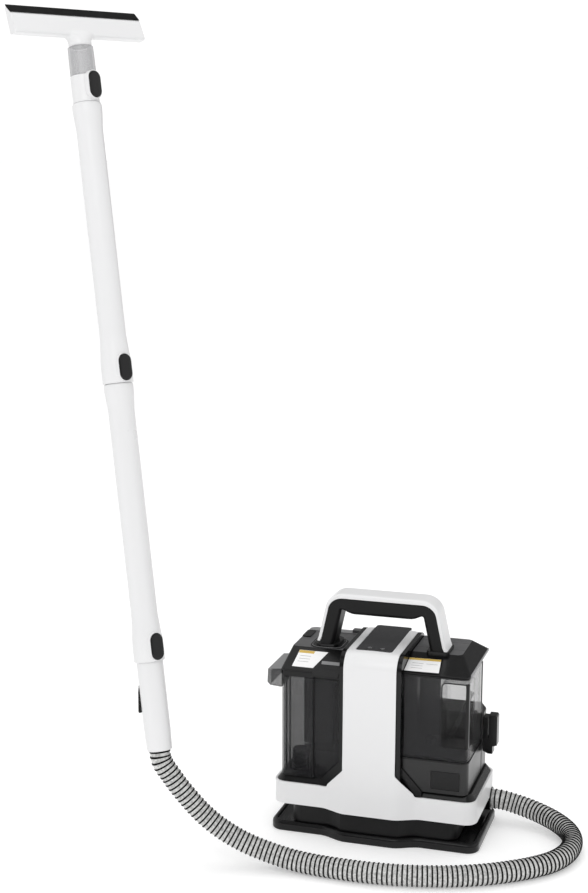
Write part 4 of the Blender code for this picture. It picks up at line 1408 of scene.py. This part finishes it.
@dataclass
class DeckSet(SubAssembly):
    """Both top covers and the pale trim under the right one's outer edge."""

    edge: float = 0.154
    inner: float = 0.0006
    trim: Slab = Slab("right_deck_trim", rounded(0.1534, 0.1546, -0.0665, 0.0790, (0.0004,) * 4, 3),
                      0.2877, 0.2912, DECK_PALE)

    def left(self) -> Deck:
        """The left cover with its plates, latch, collar and label."""
        side = PILLAR_X - BAY_EDGE
        inner = side - self.inner
        plates = (
            Slab("left_deck_plate", rounded(-0.1478, inner, -0.0275, 0.0605, (0.006, 0.001, 0.001, 0.001), 5),
                 -0.0004, 0.0004, DECK, ease=0.0003),
            Slab("left_deck_back_plate",
                 rounded(-0.1478, inner, 0.0617, 0.0790, (0.001, 0.001, 0.001, 0.009), 5),
                 -0.0004, 0.0014, DECK_PALE, ease=0.0003),
            Slab("left_deck_tab", rounded(-0.1485, -0.1335, 0.022, 0.058, (0.004,) * 4, 5),
                 0.0, 0.0024, BLACK, ease=0.0008),
            Slab("left_deck_rest", rounded(-0.0735, -0.0555, 0.064, 0.078, (0.0015,) * 4, 4),
                 0.0, 0.0062, DECK, ease=0.0008),
            Slab("left_foot_collar", rounded(-0.1225, -0.0665, -0.0275, 0.0300, (0.016,) * 4),
                 0.0, 0.0014, BLACK, ease=0.0005),
            Slab("left_foot_ring", rounded(-0.1195, -0.0695, -0.0262, 0.0287, (0.014,) * 4),
                 0.0, 0.0019, DECK_PALE, ease=0.0002),
            Slab("left_foot_cap", rounded(-0.1187, -0.0703, -0.0257, 0.0282, (0.0135,) * 4),
                 0.0, 0.0026, BLACK, ease=0.0004),
        )
        strip = ((-0.0905, 0.0190), (-0.0585, 0.0190), (-0.0602, 0.0262), (-0.0915, 0.0262))
        slope_plates = (
            Slab("left_latch", rounded(-0.0995, -0.0556, -0.0105, 0.0075), -0.0010, 0.0016, BLACK, ease=0.0010),
            Slab("left_slope_strip", strip, -0.0001, 0.0004, DECK_PALE, ease=0.0001),
        )
        label = Label(
            ((-0.1372, 0.0085), (-0.1020, 0.0085), (-0.0862, 0.0470), (-0.1342, 0.0470)),
            ((-0.1343, 0.0405), (-0.1090, 0.0405), (-0.1080, 0.0465), (-0.1340, 0.0465)),
            ((-0.1300, 0.0335), (-0.1300, 0.0270), (-0.1310, 0.0205)),
        )
        radii = (0.006, 0.0, 0.0, 0.010)
        return Deck("left_deck", (-self.edge, side), (-0.149, side, -0.029, 0.080), 0.273, 0.299, radii, radii,
                    plates, slope_plates, label)

    def right(self) -> Deck:
        """The right cover with its plates, collar and label."""
        side = PILLAR_X + BAY_EDGE
        inner = side + self.inner
        plates = (
            Slab("right_deck_front_plate",
                 rounded(inner, 0.1288, -0.0158, 0.0100, (0.001, 0.009, 0.001, 0.001), 5),
                 -0.0004, 0.0004, DECK, ease=0.0003),
            Slab("right_deck_plate", rounded(inner, 0.1288, 0.0108, 0.0480, (0.001,) * 4, 3),
                 -0.0004, 0.0004, DECK, ease=0.0003),
            Slab("right_deck_back_plate",
                 rounded(inner, 0.1288, 0.0488, 0.0718, (0.001, 0.001, 0.007, 0.001), 5),
                 -0.0004, 0.0004, DECK, ease=0.0003),
            Slab("right_foot_collar",
                 rounded(0.0725, 0.1085, -0.0240, 0.0240, (0.004, 0.006, 0.006, 0.004), 6),
                 -0.006, 0.0052, BLACK, ease=0.0008),
        )
        label = Label(
            ((0.0482, 0.0055), (0.1035, 0.0065), (0.0992, 0.0455), (0.0482, 0.0440)),
            ((0.0484, 0.0380), (0.0998, 0.0395), (0.0993, 0.0452), (0.0484, 0.0437)),
            ((0.0560, 0.0290), (0.0560, 0.0220), (0.0565, 0.0150), (0.0785, 0.0290)),
        )
        return Deck("right_deck", (side, self.edge), (side, 0.130, -0.017, 0.073), 0.2875, 0.305,
                    (0.0, 0.012, 0.010, 0.0), (0.0, 0.010, 0.008, 0.0), plates, (), label)

    def build(self) -> None:
        """Make the trim and both covers."""
        self.slab(self.trim)
        self.left().build()
        self.right().build()


@dataclass
class CarryHandle(SubAssembly):
    """White skin over a rounded black grip, bent into an arch."""

    middle: float = -0.002
    foot: float = 0.108
    shoulder: float = 0.094
    top: float = 0.391
    corner: float = 0.030
    foot_z: float = 0.3045
    skin: float = 0.0075
    depth: float = 0.0335
    leg_skin: float = 0.72
    leg_depth: float = 0.81
    thicken: float = 3.4
    half: float = 0.022
    grip_proud: float = 0.0008
    skin_lift: float = 0.0052
    grip_drop: float = 0.0012
    leg_shares: tuple[float, ...] = (0.0, 0.2, 0.4, 0.6, 0.8)
    top_shares: tuple[float, ...] = (0.05, 0.1, 0.17, 0.25, 0.35, 0.5, 0.75)
    corner_steps: int = 16

    def spine(self) -> list[tuple[Vector, Vector]]:
        """Outer edge of the arch, right foot to left foot.

        Returns:
            Pairs of a point and the direction out of the arch, both in the front view.
        """
        lean = Vector((self.foot - self.shoulder, -(self.top - self.corner - self.foot_z))).normalized()
        out = Vector((-lean.y, lean.x))
        start_turn = math.degrees(math.atan2(out.y, out.x))
        centre = Vector((self.shoulder - self.corner * 0.97, self.top - self.corner))
        start = Vector((self.foot, self.foot_z))
        half_arch = [(start.lerp(centre + out * self.corner, share), out) for share in self.leg_shares]
        for i in range(self.corner_steps + 1):
            turn = math.radians(start_turn + (90 - start_turn) * i / self.corner_steps)
            away = Vector((math.cos(turn), math.sin(turn)))
            half_arch.append((centre + away * self.corner, away))
        for share in self.top_shares:
            half_arch.append((Vector((centre.x * (1 - share), self.top)), Vector((0.0, 1.0))))
        other = [(Vector((-p.x, p.y)), Vector((-n.x, n.y))) for p, n in reversed(half_arch)]
        return half_arch + other

    def thickness(self, point: Vector, out: Vector) -> Point2:
        """How much of its full depth the skin and the grip have at a point of the arch."""
        over = max(out.y, 0.0) ** 2
        inboard = 1.0 - min(abs(point.x) / (self.shoulder - self.corner), 1.0)
        swell = math.sin(min(inboard * self.thicken, 1.0) * math.pi / 2)
        return self.leg_skin + (1.0 - self.leg_skin) * over, self.leg_depth + (1.0 - self.leg_depth) * swell

    def sweep(self, name: str, section: Sequence[Point2], finish: Finish, drop: float) -> Object:
        """Run a (depth, inwards) section along the arch.

        Args:
            name: the piece's name.
            section: its outline: y, and distance in from the arch's outer edge.
            finish: its finish.
            drop: how far its feet run below the arch's.

        Returns:
            The piece.
        """
        line = self.spine()
        rings: list[Ring] = []
        for index, (point, out) in enumerate(line):
            thin, full = self.thickness(point, out)
            ring: Ring = []
            for y, inwards in section:
                share = min(max((inwards - self.skin) / (self.depth - self.skin), 0.0), 1.0)
                at = point - out * inwards * (thin + (full - thin) * share)
                if index in (0, len(line) - 1):
                    at.y = self.foot_z - drop
                ring.append((at.x + self.middle, y, at.y))
            rings.append(ring)
        obj = loft(name, rings, finish)
        smooth(obj, 45.0)
        return obj

    def build(self) -> None:
        """Make the skin, the grip and the pedestal."""
        skin = rounded(-self.half, self.half, 0.0, self.skin, (0.0042, 0.0042, 0.0005, 0.0005), 6)
        shell = self.sweep("handle_skin", skin, WHITE, -self.skin_lift)
        self.fit(shell, Body.MACHINE, WHITE, "handle_shell")
        half = self.half + self.grip_proud
        grip = rounded(-half, half, self.skin + 0.0002, self.depth, (0.0012, 0.0012, 0.0075, 0.0075))
        core = self.sweep("handle_core", grip, SATIN, self.grip_drop)
        self.fit(core, Body.MACHINE, SATIN, "handle_grip")
        self.copy("handle_pedestal", BLACK, 0.0008)


@dataclass
class ControlPanel(SubAssembly):
    """Dark touch window in the hoop's top with its two keys and their plain marks."""

    window: Slab = Slab("touch_window", rounded(-0.0332, 0.0262, -0.0667, 0.0777, (0.0057,) * 4),
                        0.3125, 0.3144, PANEL)
    keys: tuple[tuple[str, float, Body], ...] = (
        ("power_key", -0.014, Body.POWER), ("mode_key", 0.007, Body.MODE),
    )
    key_y: float = -0.048
    way_half: Point2 = (0.007, 0.006)
    ring_radius: float = 0.0032
    dot_radius: float = 0.0009
    print_wide: float = 0.0005
    print_high: float = 0.00008
    ease: float = 0.00015

    def mark(self, name: str, centre: Point2, height: float, radius: float, body: Body) -> None:
        """Print a small ring on a key.

        Args:
            name: the mark's name.
            centre: its centre in plan.
            height: the key's top.
            radius: the ring's radius.
            body: the key's body.
        """
        inner = radius - self.print_wide
        profile = [(radius, 0.0), (radius, self.print_high), (inner, self.print_high), (inner, 0.0)]
        place = Matrix.Translation((*centre, height))
        self.fit(turned(name, profile, MARKING, place, closed=True, steps=40), body, MARKING)

    def build(self) -> None:
        """Make the window, the keys and the marks."""
        window = self.window.solid()
        wide, deep = self.way_half
        for _, x, _ in self.keys:
            hole = rounded(x - wide, x + wide, self.key_y - deep, self.key_y + deep)
            combine(window, Slab("key_hole", hole, 0.30, 0.33, PANEL).solid())
        soften(window, self.ease, 2)
        self.seat(window, Body.MACHINE, PANEL, "control_panel")
        for node, x, body in self.keys:
            self.copy(node, PANEL, self.ease, body, 2)
            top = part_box(node)[1][2]
            self.mark(f"{node}_ring", (x, self.key_y), top, self.ring_radius, body)
            self.mark(f"{node}_dot", (x, self.key_y), top, self.dot_radius, body)


@dataclass
class DirtyTank(SubAssembly):
    """Smoked recovery tank on the left with what is in it."""

    back_wall: float = 0.079
    floor_top: float = 0.0972
    ledge_top: float = 0.268
    sieve_place: Point3 = (-0.128, -0.052, 0.0)
    sieve_low: float = 0.100
    sieve_rings: int = 6
    sieve_pitch: float = 0.006
    sieve_ring: tuple[Point2, ...] = (
        (0.0126, 0.0), (0.0130, 0.0004), (0.0130, 0.0026), (0.0126, 0.003), (0.0105, 0.0032), (0.0105, 0.0058),
    )
    slabs: tuple[Slab, ...] = (
        Slab("tank_baffle", rounded(-0.1290, -0.0570, 0.0975, 0.2600), 0.0365, 0.0385, SATIN, Axis.Y, 0.0005),
        Slab("tank_front_seam", rounded(-0.1012, -0.0996, 0.0968, 0.2600), -0.0738, -0.0722, SATIN, Axis.Y),
        *(Slab(f"tank_rib_{name}", rounded(x, x + 0.0014, 0.0975, 0.2600), -0.0700, -0.0655, SMOKE_DENSE, Axis.Y)
          for name, x in ((1475, -0.1475), (1415, -0.1415))),
    )

    def build(self) -> None:
        """Make the tank and dress its inside."""
        body = Body.DIRTY
        tank = self.copy("dirty_tank", SMOKE, 0.0008, body)
        repaint(tank, SMOKE_DENSE, lambda at, normal: at.y > self.back_wall or at.z < self.floor_top)
        self.copy("dirty_tank_lid", BLACK, 0.0007, body)
        ledge = self.copy("tank_ledge", LEDGE, 0.0010, body)
        repaint(ledge, DECK_PALE, lambda at, normal: normal.z > 0.6 and at.z > self.ledge_top)
        self.copy("inlet_duct", SATIN, 0.0006, body)
        self.dress(SATIN, "float_cage")
        lows = [self.sieve_low + i * self.sieve_pitch for i in range(self.sieve_rings)]
        profile = [(radius, low + up) for low in lows for radius, up in self.sieve_ring]
        sieve = turned("ribbed_strainer", profile, SATIN, Matrix.Translation(self.sieve_place), steps=48)
        self.seat(sieve, body, SATIN, "strainer")
        for slab in self.slabs:
            self.slab(slab, body)


@dataclass
class CleanTank(SubAssembly):
    """Smoked clean water tank on the right with its hand recess, lid, cap and valve."""

    recess_left: float = 0.110
    recess_back: float = -0.030
    recess_low: float = 0.172
    recess_high: float = 0.277
    recess_reach: float = 0.003
    front_wall: float = -0.074
    back_wall: float = 0.030
    side_wall: float = 0.1505
    rim: Slab = Slab("recess_rim", rounded(0.1088, 0.1520, 0.1706, 0.2782, (0.008, 0.0, 0.0, 0.008)),
                     -0.0766, -0.0745, BLACK, Axis.Y)
    rim_hole: Slab = Slab("recess_hole", rounded(0.1107, 0.1530, 0.1726, 0.2768, (0.0068, 0.0, 0.0, 0.0068)),
                          -0.09, -0.06, BLACK, Axis.Y)
    slabs: tuple[Slab, ...] = (
        Slab("tank_screen", rounded(0.0510, 0.0860, 0.1525, 0.2805), 0.0285, 0.0300, SMOKE_DENSE, Axis.Y),
        Slab("tank_back_corner", rounded(0.1518, 0.1540, 0.0305, 0.0346, (0.0004, 0.0, 0.0018, 0.0), 4),
             0.1500, 0.2830, BLACK),
    )
    tube_foot: Point3 = (0.1150, -0.0215, 0.1700)
    tube_lean: Point3 = (0.0230, 0.0, 0.0560)
    tube: tuple[Point2, ...] = (
        (0.0036, 0.0), (0.0040, 0.001), (0.0040, 0.0850), (0.0026, 0.0850), (0.0026, 0.0),
    )
    cap_place: Point3 = (0.078, -0.012, 0.2835)
    cap: tuple[Point2, ...] = (
        (0.0160, -0.0020), (0.0160, 0.0024), (0.0156, 0.0031), (0.0146, 0.0034), (0.0080, 0.0034),
        (0.0070, 0.0029),
    )

    def in_recess(self, at: Vector, normal: Vector) -> bool:
        """Whether a face lines the hand recess."""
        reach = self.recess_reach
        across = at.x > self.recess_left - reach and self.front_wall < at.y < self.recess_back + reach
        return across and self.recess_low - reach < at.z < self.recess_high + reach

    def build(self) -> None:
        """Make the tank and what is on it."""
        body = Body.CLEAN
        tank = self.copy("clean_tank", SMOKE, 0.0008, body)
        repaint(tank, SMOKE_THIN, self.in_recess)
        repaint(tank, SMOKE_BACK, lambda at, normal: at.y > self.back_wall or at.x > self.side_wall)
        self.copy("clean_tank_lid", BLACK, 0.0006, body)
        self.copy("corner_grip", BLACK, 0.0009, body)
        rim = self.rim.solid()
        combine(rim, self.rim_hole.solid())
        self.seat(rim, body, BLACK)
        for slab in self.slabs:
            self.slab(slab, body)
        lean = Vector(self.tube_lean).to_track_quat("Z", "Y").to_matrix().to_4x4()
        place = Matrix.Translation(self.tube_foot) @ lean
        tube = turned("pickup_tube", self.tube, SMOKE_THIN, place, closed=True, steps=32)
        self.seat(tube, body, SMOKE_THIN)
        lid = turned("filler_cap_skin", self.cap, SATIN, Matrix.Translation(self.cap_place))
        self.seat(lid, Body.CAP, SATIN, "fill_cap")
        self.dress(SATIN, "outlet_valve")
        self.dress(RUBBER, "valve_plunger")


@dataclass
class PumpBay(SubAssembly):
    """Black housings under and behind the clean tank, and the drive inside the machine."""

    bead_box: tuple[float, ...] = (0.0478, 0.1546, -0.0772, 0.0365)
    bead_radii: tuple[float, ...] = (0.001, 0.0130, 0.001, 0.001)
    bead: tuple[Point2, ...] = (
        (0.0030, 0.1462), (0.0006, 0.1462), (0.0, 0.1468), (0.0, 0.1486), (0.0006, 0.1492), (0.0030, 0.1492),
    )

    def build(self) -> None:
        """Make the housings and dress the drive."""
        self.copy("pump_housing", HOUSING, 0.0016)
        self.copy("pump_access_lid", BLACK, 0.0003, segments=2)
        outside = rounded(*self.bead_box, self.bead_radii)
        rings = [at_level(inset(outside, depth), z) for depth, z in self.bead]
        self.seat(loft("tank_seat_bead", rings, BLACK, closed=True), Body.MACHINE, BLACK)
        self.copy("rear_housing", HOUSING, 0.0014)
        self.dress(SATIN, "fan_housing", "fan_impeller", "exhaust_silencer", "water_pump")
        self.dress(STEEL, "motor_can")
        self.dress(BOARD, "circuit_board")
        self.dress(WHITE, "float")


@dataclass
class Wand(SubAssembly):
    """Grip with trigger, two tubes with release buttons, coupler and clear neck."""

    handle_top: float = 0.1385
    lower_top: float = 0.5695
    upper_top: float = 1.0045
    coupler_top: float = 1.0470
    neck_top: float = 1.0915
    tube: float = 0.0205
    socket: float = 0.0240
    collar: float = 0.0228
    bore: float = 0.0150
    grip_bore: float = 0.0125
    spigot: float = 0.0177
    spigot_length: float = 0.025
    round_sides: int = 96
    button_width: float = 0.0108
    button_half: float = 0.0205
    button_height: float = 0.0230
    neck_button_height: float = 0.0245
    button_angle: float = 38.0
    neck_button_angle: float = 45.0
    boss: tuple[Point2, ...] = (
        (0.0022, 0.0180), (0.0022, 0.0200), (0.0020, 0.0232), (0.0020, 0.0249), (0.0016, 0.0256),
        (0.0010, 0.0258),
    )
    pocket: tuple[Point2, ...] = ((0.0004, 0.0203), (0.0004, 0.0300))
    dome: tuple[Point2, ...] = (
        (0.0, 0.0236), (0.0, 0.0266), (-0.0003, 0.0273), (-0.0010, 0.0279), (-0.0022, 0.0283),
        (-0.0040, 0.0285), (-0.0065, 0.0286),
    )
    notch: tuple[Point2, ...] = ((0.0022 + GAP, 0.0150), (0.0022 + GAP, 0.03))
    trigger_angle: float = -100.0
    trigger_way: Slab = Slab("trigger_way", rounded(-0.0068, 0.0068, 0.0578, 0.1052, (0.003,) * 4, 5),
                             0.0118, 0.0300, WHITE, Axis.Y)
    pin_centre: Point3 = (0.0, 0.0177, 0.1000)
    pin_way: tuple[Point2, ...] = ((0.0018, -0.009), (0.0018, 0.009))

    @staticmethod
    def place(height: float = 0.0) -> Matrix:
        """Frame on the wand's axis: Z up the wand, -Y to the room."""
        across = WAND_FACE.cross(WAND_AXIS).normalized()
        result = Matrix((across, WAND_AXIS.cross(across), WAND_AXIS)).transposed().to_4x4()
        result.translation = WAND_END + WAND_AXIS * height
        return result

    @classmethod
    def outward(cls, height: float, angle: float) -> Matrix:
        """Frame on the wand's axis whose Y points out of it at an angle from its face."""
        return cls.place(height) @ Matrix.Rotation(math.radians(angle + 180), 4, "Z")

    def pipe(self, name: str, profile: Sequence[Point2], low: float = 0.0, finish: Finish = WHITE) -> Object:
        """Turn a hollow (radius, height) profile about the wand's axis, from a height up it."""
        return turned(name, profile, finish, self.place(low), closed=True, steps=self.round_sides)

    def ovals(self, name: str, levels: Sequence[Point2], finish: Finish, place: Matrix) -> Object:
        """Stack ovals round a button.

        Args:
            name: the piece's name.
            levels: for each oval, its margin beyond the button and its distance off the axis.
            finish: its finish.
            place: the frame that it is drawn in.

        Returns:
            The piece.
        """
        wide, half = self.button_width, self.button_half
        rings = [at_level(stadium(half + margin, wide + margin), off, Axis.Y) for margin, off in levels]
        return loft(name, rings, finish, place=place)

    def add_button(self, tube: Object, node: str, body: Body, place: Matrix) -> None:
        """Raise an oval boss on a tube, cut its pocket and set a domed button in it.

        Args:
            tube: the tube.
            node: the CAD node that the button replaces.
            body: the button's body.
            place: the button's frame.
        """
        combine(tube, self.ovals("boss", self.boss, WHITE, place), "UNION")
        combine(tube, self.ovals("pocket", self.pocket, WHITE, place))
        button = self.ovals(f"{node}_skin", self.dome, BLACK, place)
        smooth(button, 60.0)
        self.fit(button, body, BLACK, node)

    def build_tube(self, which: str, body: Body, button_body: Body, low: float, high: float) -> None:
        """Make one extension tube with its socket, collar, spigot and button.

        Args:
            which: lower or upper.
            body: the tube's body.
            button_body: the button's body.
            low: where it starts up the wand.
            high: where it ends.
        """
        length = high - low
        mouth = self.socket - 0.0006
        outer = [(self.socket - 0.0010, 0.0), (self.socket - 0.0004, 0.0004), (self.socket, 0.0014)]
        for share in (i / 12 for i in range(13)):
            radius = self.socket - 0.0006 * share - (mouth - self.tube) * eased(share)
            outer.append((radius, 0.022 + 0.055 * share))
        for share in (i / 8 for i in range(9)):
            radius = self.tube + (self.collar - self.tube) * eased(share)
            outer.append((radius, length - 0.046 + 0.036 * share))
        tip = length + self.spigot_length
        outer += [(self.collar, length - 0.0050), (self.collar - 0.0004, length - 0.0028),
                  (self.collar - 0.0012, length - 0.0010), (self.collar - 0.0022, length - GAP),
                  (self.spigot, length - GAP), (self.spigot, tip - 0.001), (self.spigot - 0.001, tip)]
        inner = [(self.bore, tip), (self.bore, self.spigot_length + 0.003),
                 (self.spigot + GAP, self.spigot_length + 0.002), (self.spigot + GAP, 0.0)]
        tube = self.pipe(f"{which}_tube_skin", outer + inner, low)
        place = self.outward(low + self.button_height, self.button_angle)
        self.add_button(tube, f"{which}_button", button_body, place)
        self.seat(tube, body, WHITE, f"{which}_tube")

    def build_grip(self) -> None:
        """Make the grip, its trigger and its pin."""
        top = self.handle_top
        tip = top + self.spigot_length
        outer = [(0.0178, 0.0), (0.0188, 0.0006), (0.0193, 0.0016), (0.0198, 0.010), (0.0203, 0.024),
                 (self.tube, 0.036), (self.tube, top - 0.0012), (self.tube - 0.0005, top - 0.0005),
                 (self.tube - 0.0012, top - GAP), (self.spigot, top - GAP), (self.spigot, tip)]
        grip = self.pipe("wand_grip", [*outer, (self.grip_bore, tip), (self.grip_bore, 0.0)])
        place = self.outward(0.0, self.trigger_angle)
        combine(grip, self.trigger_way.solid(place))
        pin = place @ Matrix.Translation(self.pin_centre) @ Matrix.Rotation(math.radians(90), 4, "Y")
        combine(grip, turned("pin_way", self.pin_way, WHITE, pin, steps=24))
        self.seat(grip, Body.MACHINE, WHITE, "wand_handle")
        self.copy("spray_trigger", BLACK, 0.0009, Body.TRIGGER)
        self.dress(STEEL, "trigger_pin")

    def build_neck(self) -> None:
        """Make the coupler with its button and the clear neck."""
        low = self.upper_top
        length = self.coupler_top - low
        outer = [(self.tube - 0.0010, 0.0), (self.tube - 0.0003, 0.0004), (self.tube, 0.0012),
                 (self.tube, length - 0.0014), (self.tube - 0.0004, length - 0.0006),
                 (self.tube - 0.0014, length - GAP)]
        inner = [(self.bore, length - GAP), (self.bore, self.spigot_length + 0.004),
                 (self.spigot + GAP, self.spigot_length + 0.003), (self.spigot + GAP, 0.0)]
        coupler = self.pipe("neck_coupler_skin", outer + inner, low)
        place = self.outward(low + self.neck_button_height, self.neck_button_angle)
        self.add_button(coupler, "neck_button", Body.NOZZLE_BUTTON, place)
        self.seat(coupler, Body.NOZZLE, WHITE, "neck_coupler")
        clear = self.neck_top - self.coupler_top
        profile = [(0.0198, 0.0), (0.0202, 0.0004), (0.0200, clear * 0.5), (0.0197, clear - GAP),
                   (0.0165, clear - GAP), (0.0168, 0.0)]
        neck = self.pipe("clear_neck_skin", profile, self.coupler_top, CLEAR)
        combine(neck, self.ovals("notch", self.notch, CLEAR, place))
        self.seat(neck, Body.NOZZLE, CLEAR, "clear_neck")

    def build(self) -> None:
        """Make the whole wand up to the nozzle head."""
        self.build_grip()
        self.build_tube("lower", Body.LOWER_TUBE, Body.LOWER_BUTTON, self.handle_top, self.lower_top)
        self.build_tube("upper", Body.UPPER_TUBE, Body.UPPER_BUTTON, self.lower_top, self.upper_top)
        self.build_neck()


@dataclass
class NozzleHead(SubAssembly):
    """Flat T-shaped suction head with a rubber lip."""

    height: float = 1.108
    turn: float = 36.0
    half: float = 0.1135
    lean: float = 0.20
    lean_from: float = 0.002
    stem_low: float = -0.0162
    stem_high: float = 0.0223
    stem_radius: float = 0.0178
    stem_spread: float = 0.0075
    stem_thin: float = 0.0050
    stem_rings: int = 14
    stem_sides: int = 64
    voxel: float = 0.0011
    section: tuple[Point2, ...] = (
        (-0.0098, 0.0010), (-0.0088, -0.0008), (-0.0070, -0.0012), (0.0068, -0.0012), (0.0082, -0.0008),
        (0.0090, 0.0010), (0.0088, 0.0435), (0.0052, 0.0435), (-0.0044, 0.0325), (-0.0056, 0.0300),
    )
    slot_inset: float = 0.004
    lip: tuple[Point2, ...] = (
        (-0.0058, 0.0326), (-0.0046, 0.0330), (0.0052, 0.0441), (0.0062, 0.0462), (0.0060, 0.0472),
        (0.0048, 0.0474),
    )

    def tip_back(self, obj: Object) -> None:
        """Lean what is above the neck backwards and move the piece up to the wand's end."""
        for vertex in obj.data.vertices:
            vertex.co.y += self.lean * max(vertex.co.z - self.lean_from, 0.0)
        obj.data.transform(Wand.place(self.height) @ Matrix.Rotation(math.radians(self.turn), 4, "Z"))

    def shoulder(self) -> list[Ring]:
        """Rings that run from the round neck into the flat head, bottom to top."""
        rings: list[Ring] = []
        for i in range(self.stem_rings + 1):
            share = i / self.stem_rings
            z = self.stem_low + (self.stem_high - self.stem_low) * share
            flare = min(max((z + 0.0095) / 0.0095, 0.0), 1.0)
            flat = eased((share - 0.14) / 0.76)
            wide = self.stem_radius + self.stem_spread * flare * flare
            deep = self.stem_radius + (self.stem_thin - self.stem_radius) * flat
            power = 2 / (2.0 + 1.2 * flat)
            ring: Ring = []
            for k in range(self.stem_sides):
                turn = 2 * math.pi * k / self.stem_sides
                cos, sin = math.cos(turn), math.sin(turn)
                x = wide * math.copysign(abs(cos) ** power, cos)
                y = deep * math.copysign(abs(sin) ** power, sin) - 0.0004 * flat
                ring.append((x, y, z))
            rings.append(ring)
        return rings

    def build(self) -> None:
        """Make the head and its lip."""
        head = Slab("nozzle_body", self.section, -self.half, self.half, WHITE, Axis.X).solid()
        combine(head, loft("shoulder", self.shoulder(), WHITE), "UNION")
        shape(head, "REMESH", mode="VOXEL", voxel_size=self.voxel)
        shape(head, "SMOOTH", factor=0.5, iterations=5)
        reach = self.half - self.slot_inset
        combine(head, Slab("slot", rounded(-reach, reach, 0.0010, 0.0062), 0.004, 0.06, WHITE).solid())
        head.data.materials.clear()
        head.data.materials.append(WHITE.material())
        self.tip_back(head)
        shade(head)
        self.fit(head, Body.NOZZLE, WHITE, "nozzle_head")
        blade = Slab("lip_blade", self.lip, -self.half, self.half, RUBBER, Axis.X).solid()
        soften(blade, 0.0004, 2)
        self.tip_back(blade)
        self.seat(blade, Body.NOZZLE, RUBBER, "rubber_lip")


def main() -> None:
    """Build the studio and every sub-assembly."""
    logging.basicConfig(level=logging.INFO, format="%(message)s")
    Studio().build()
    for part in (Hose(), FootTray(), BodyShell(), Chassis(), DeckSet(), CarryHandle(), ControlPanel(),
                 DirtyTank(), CleanTank(), PumpBay(), Wand(), NozzleHead()):
        part.build()


if __name__ == "__main__":
    main()
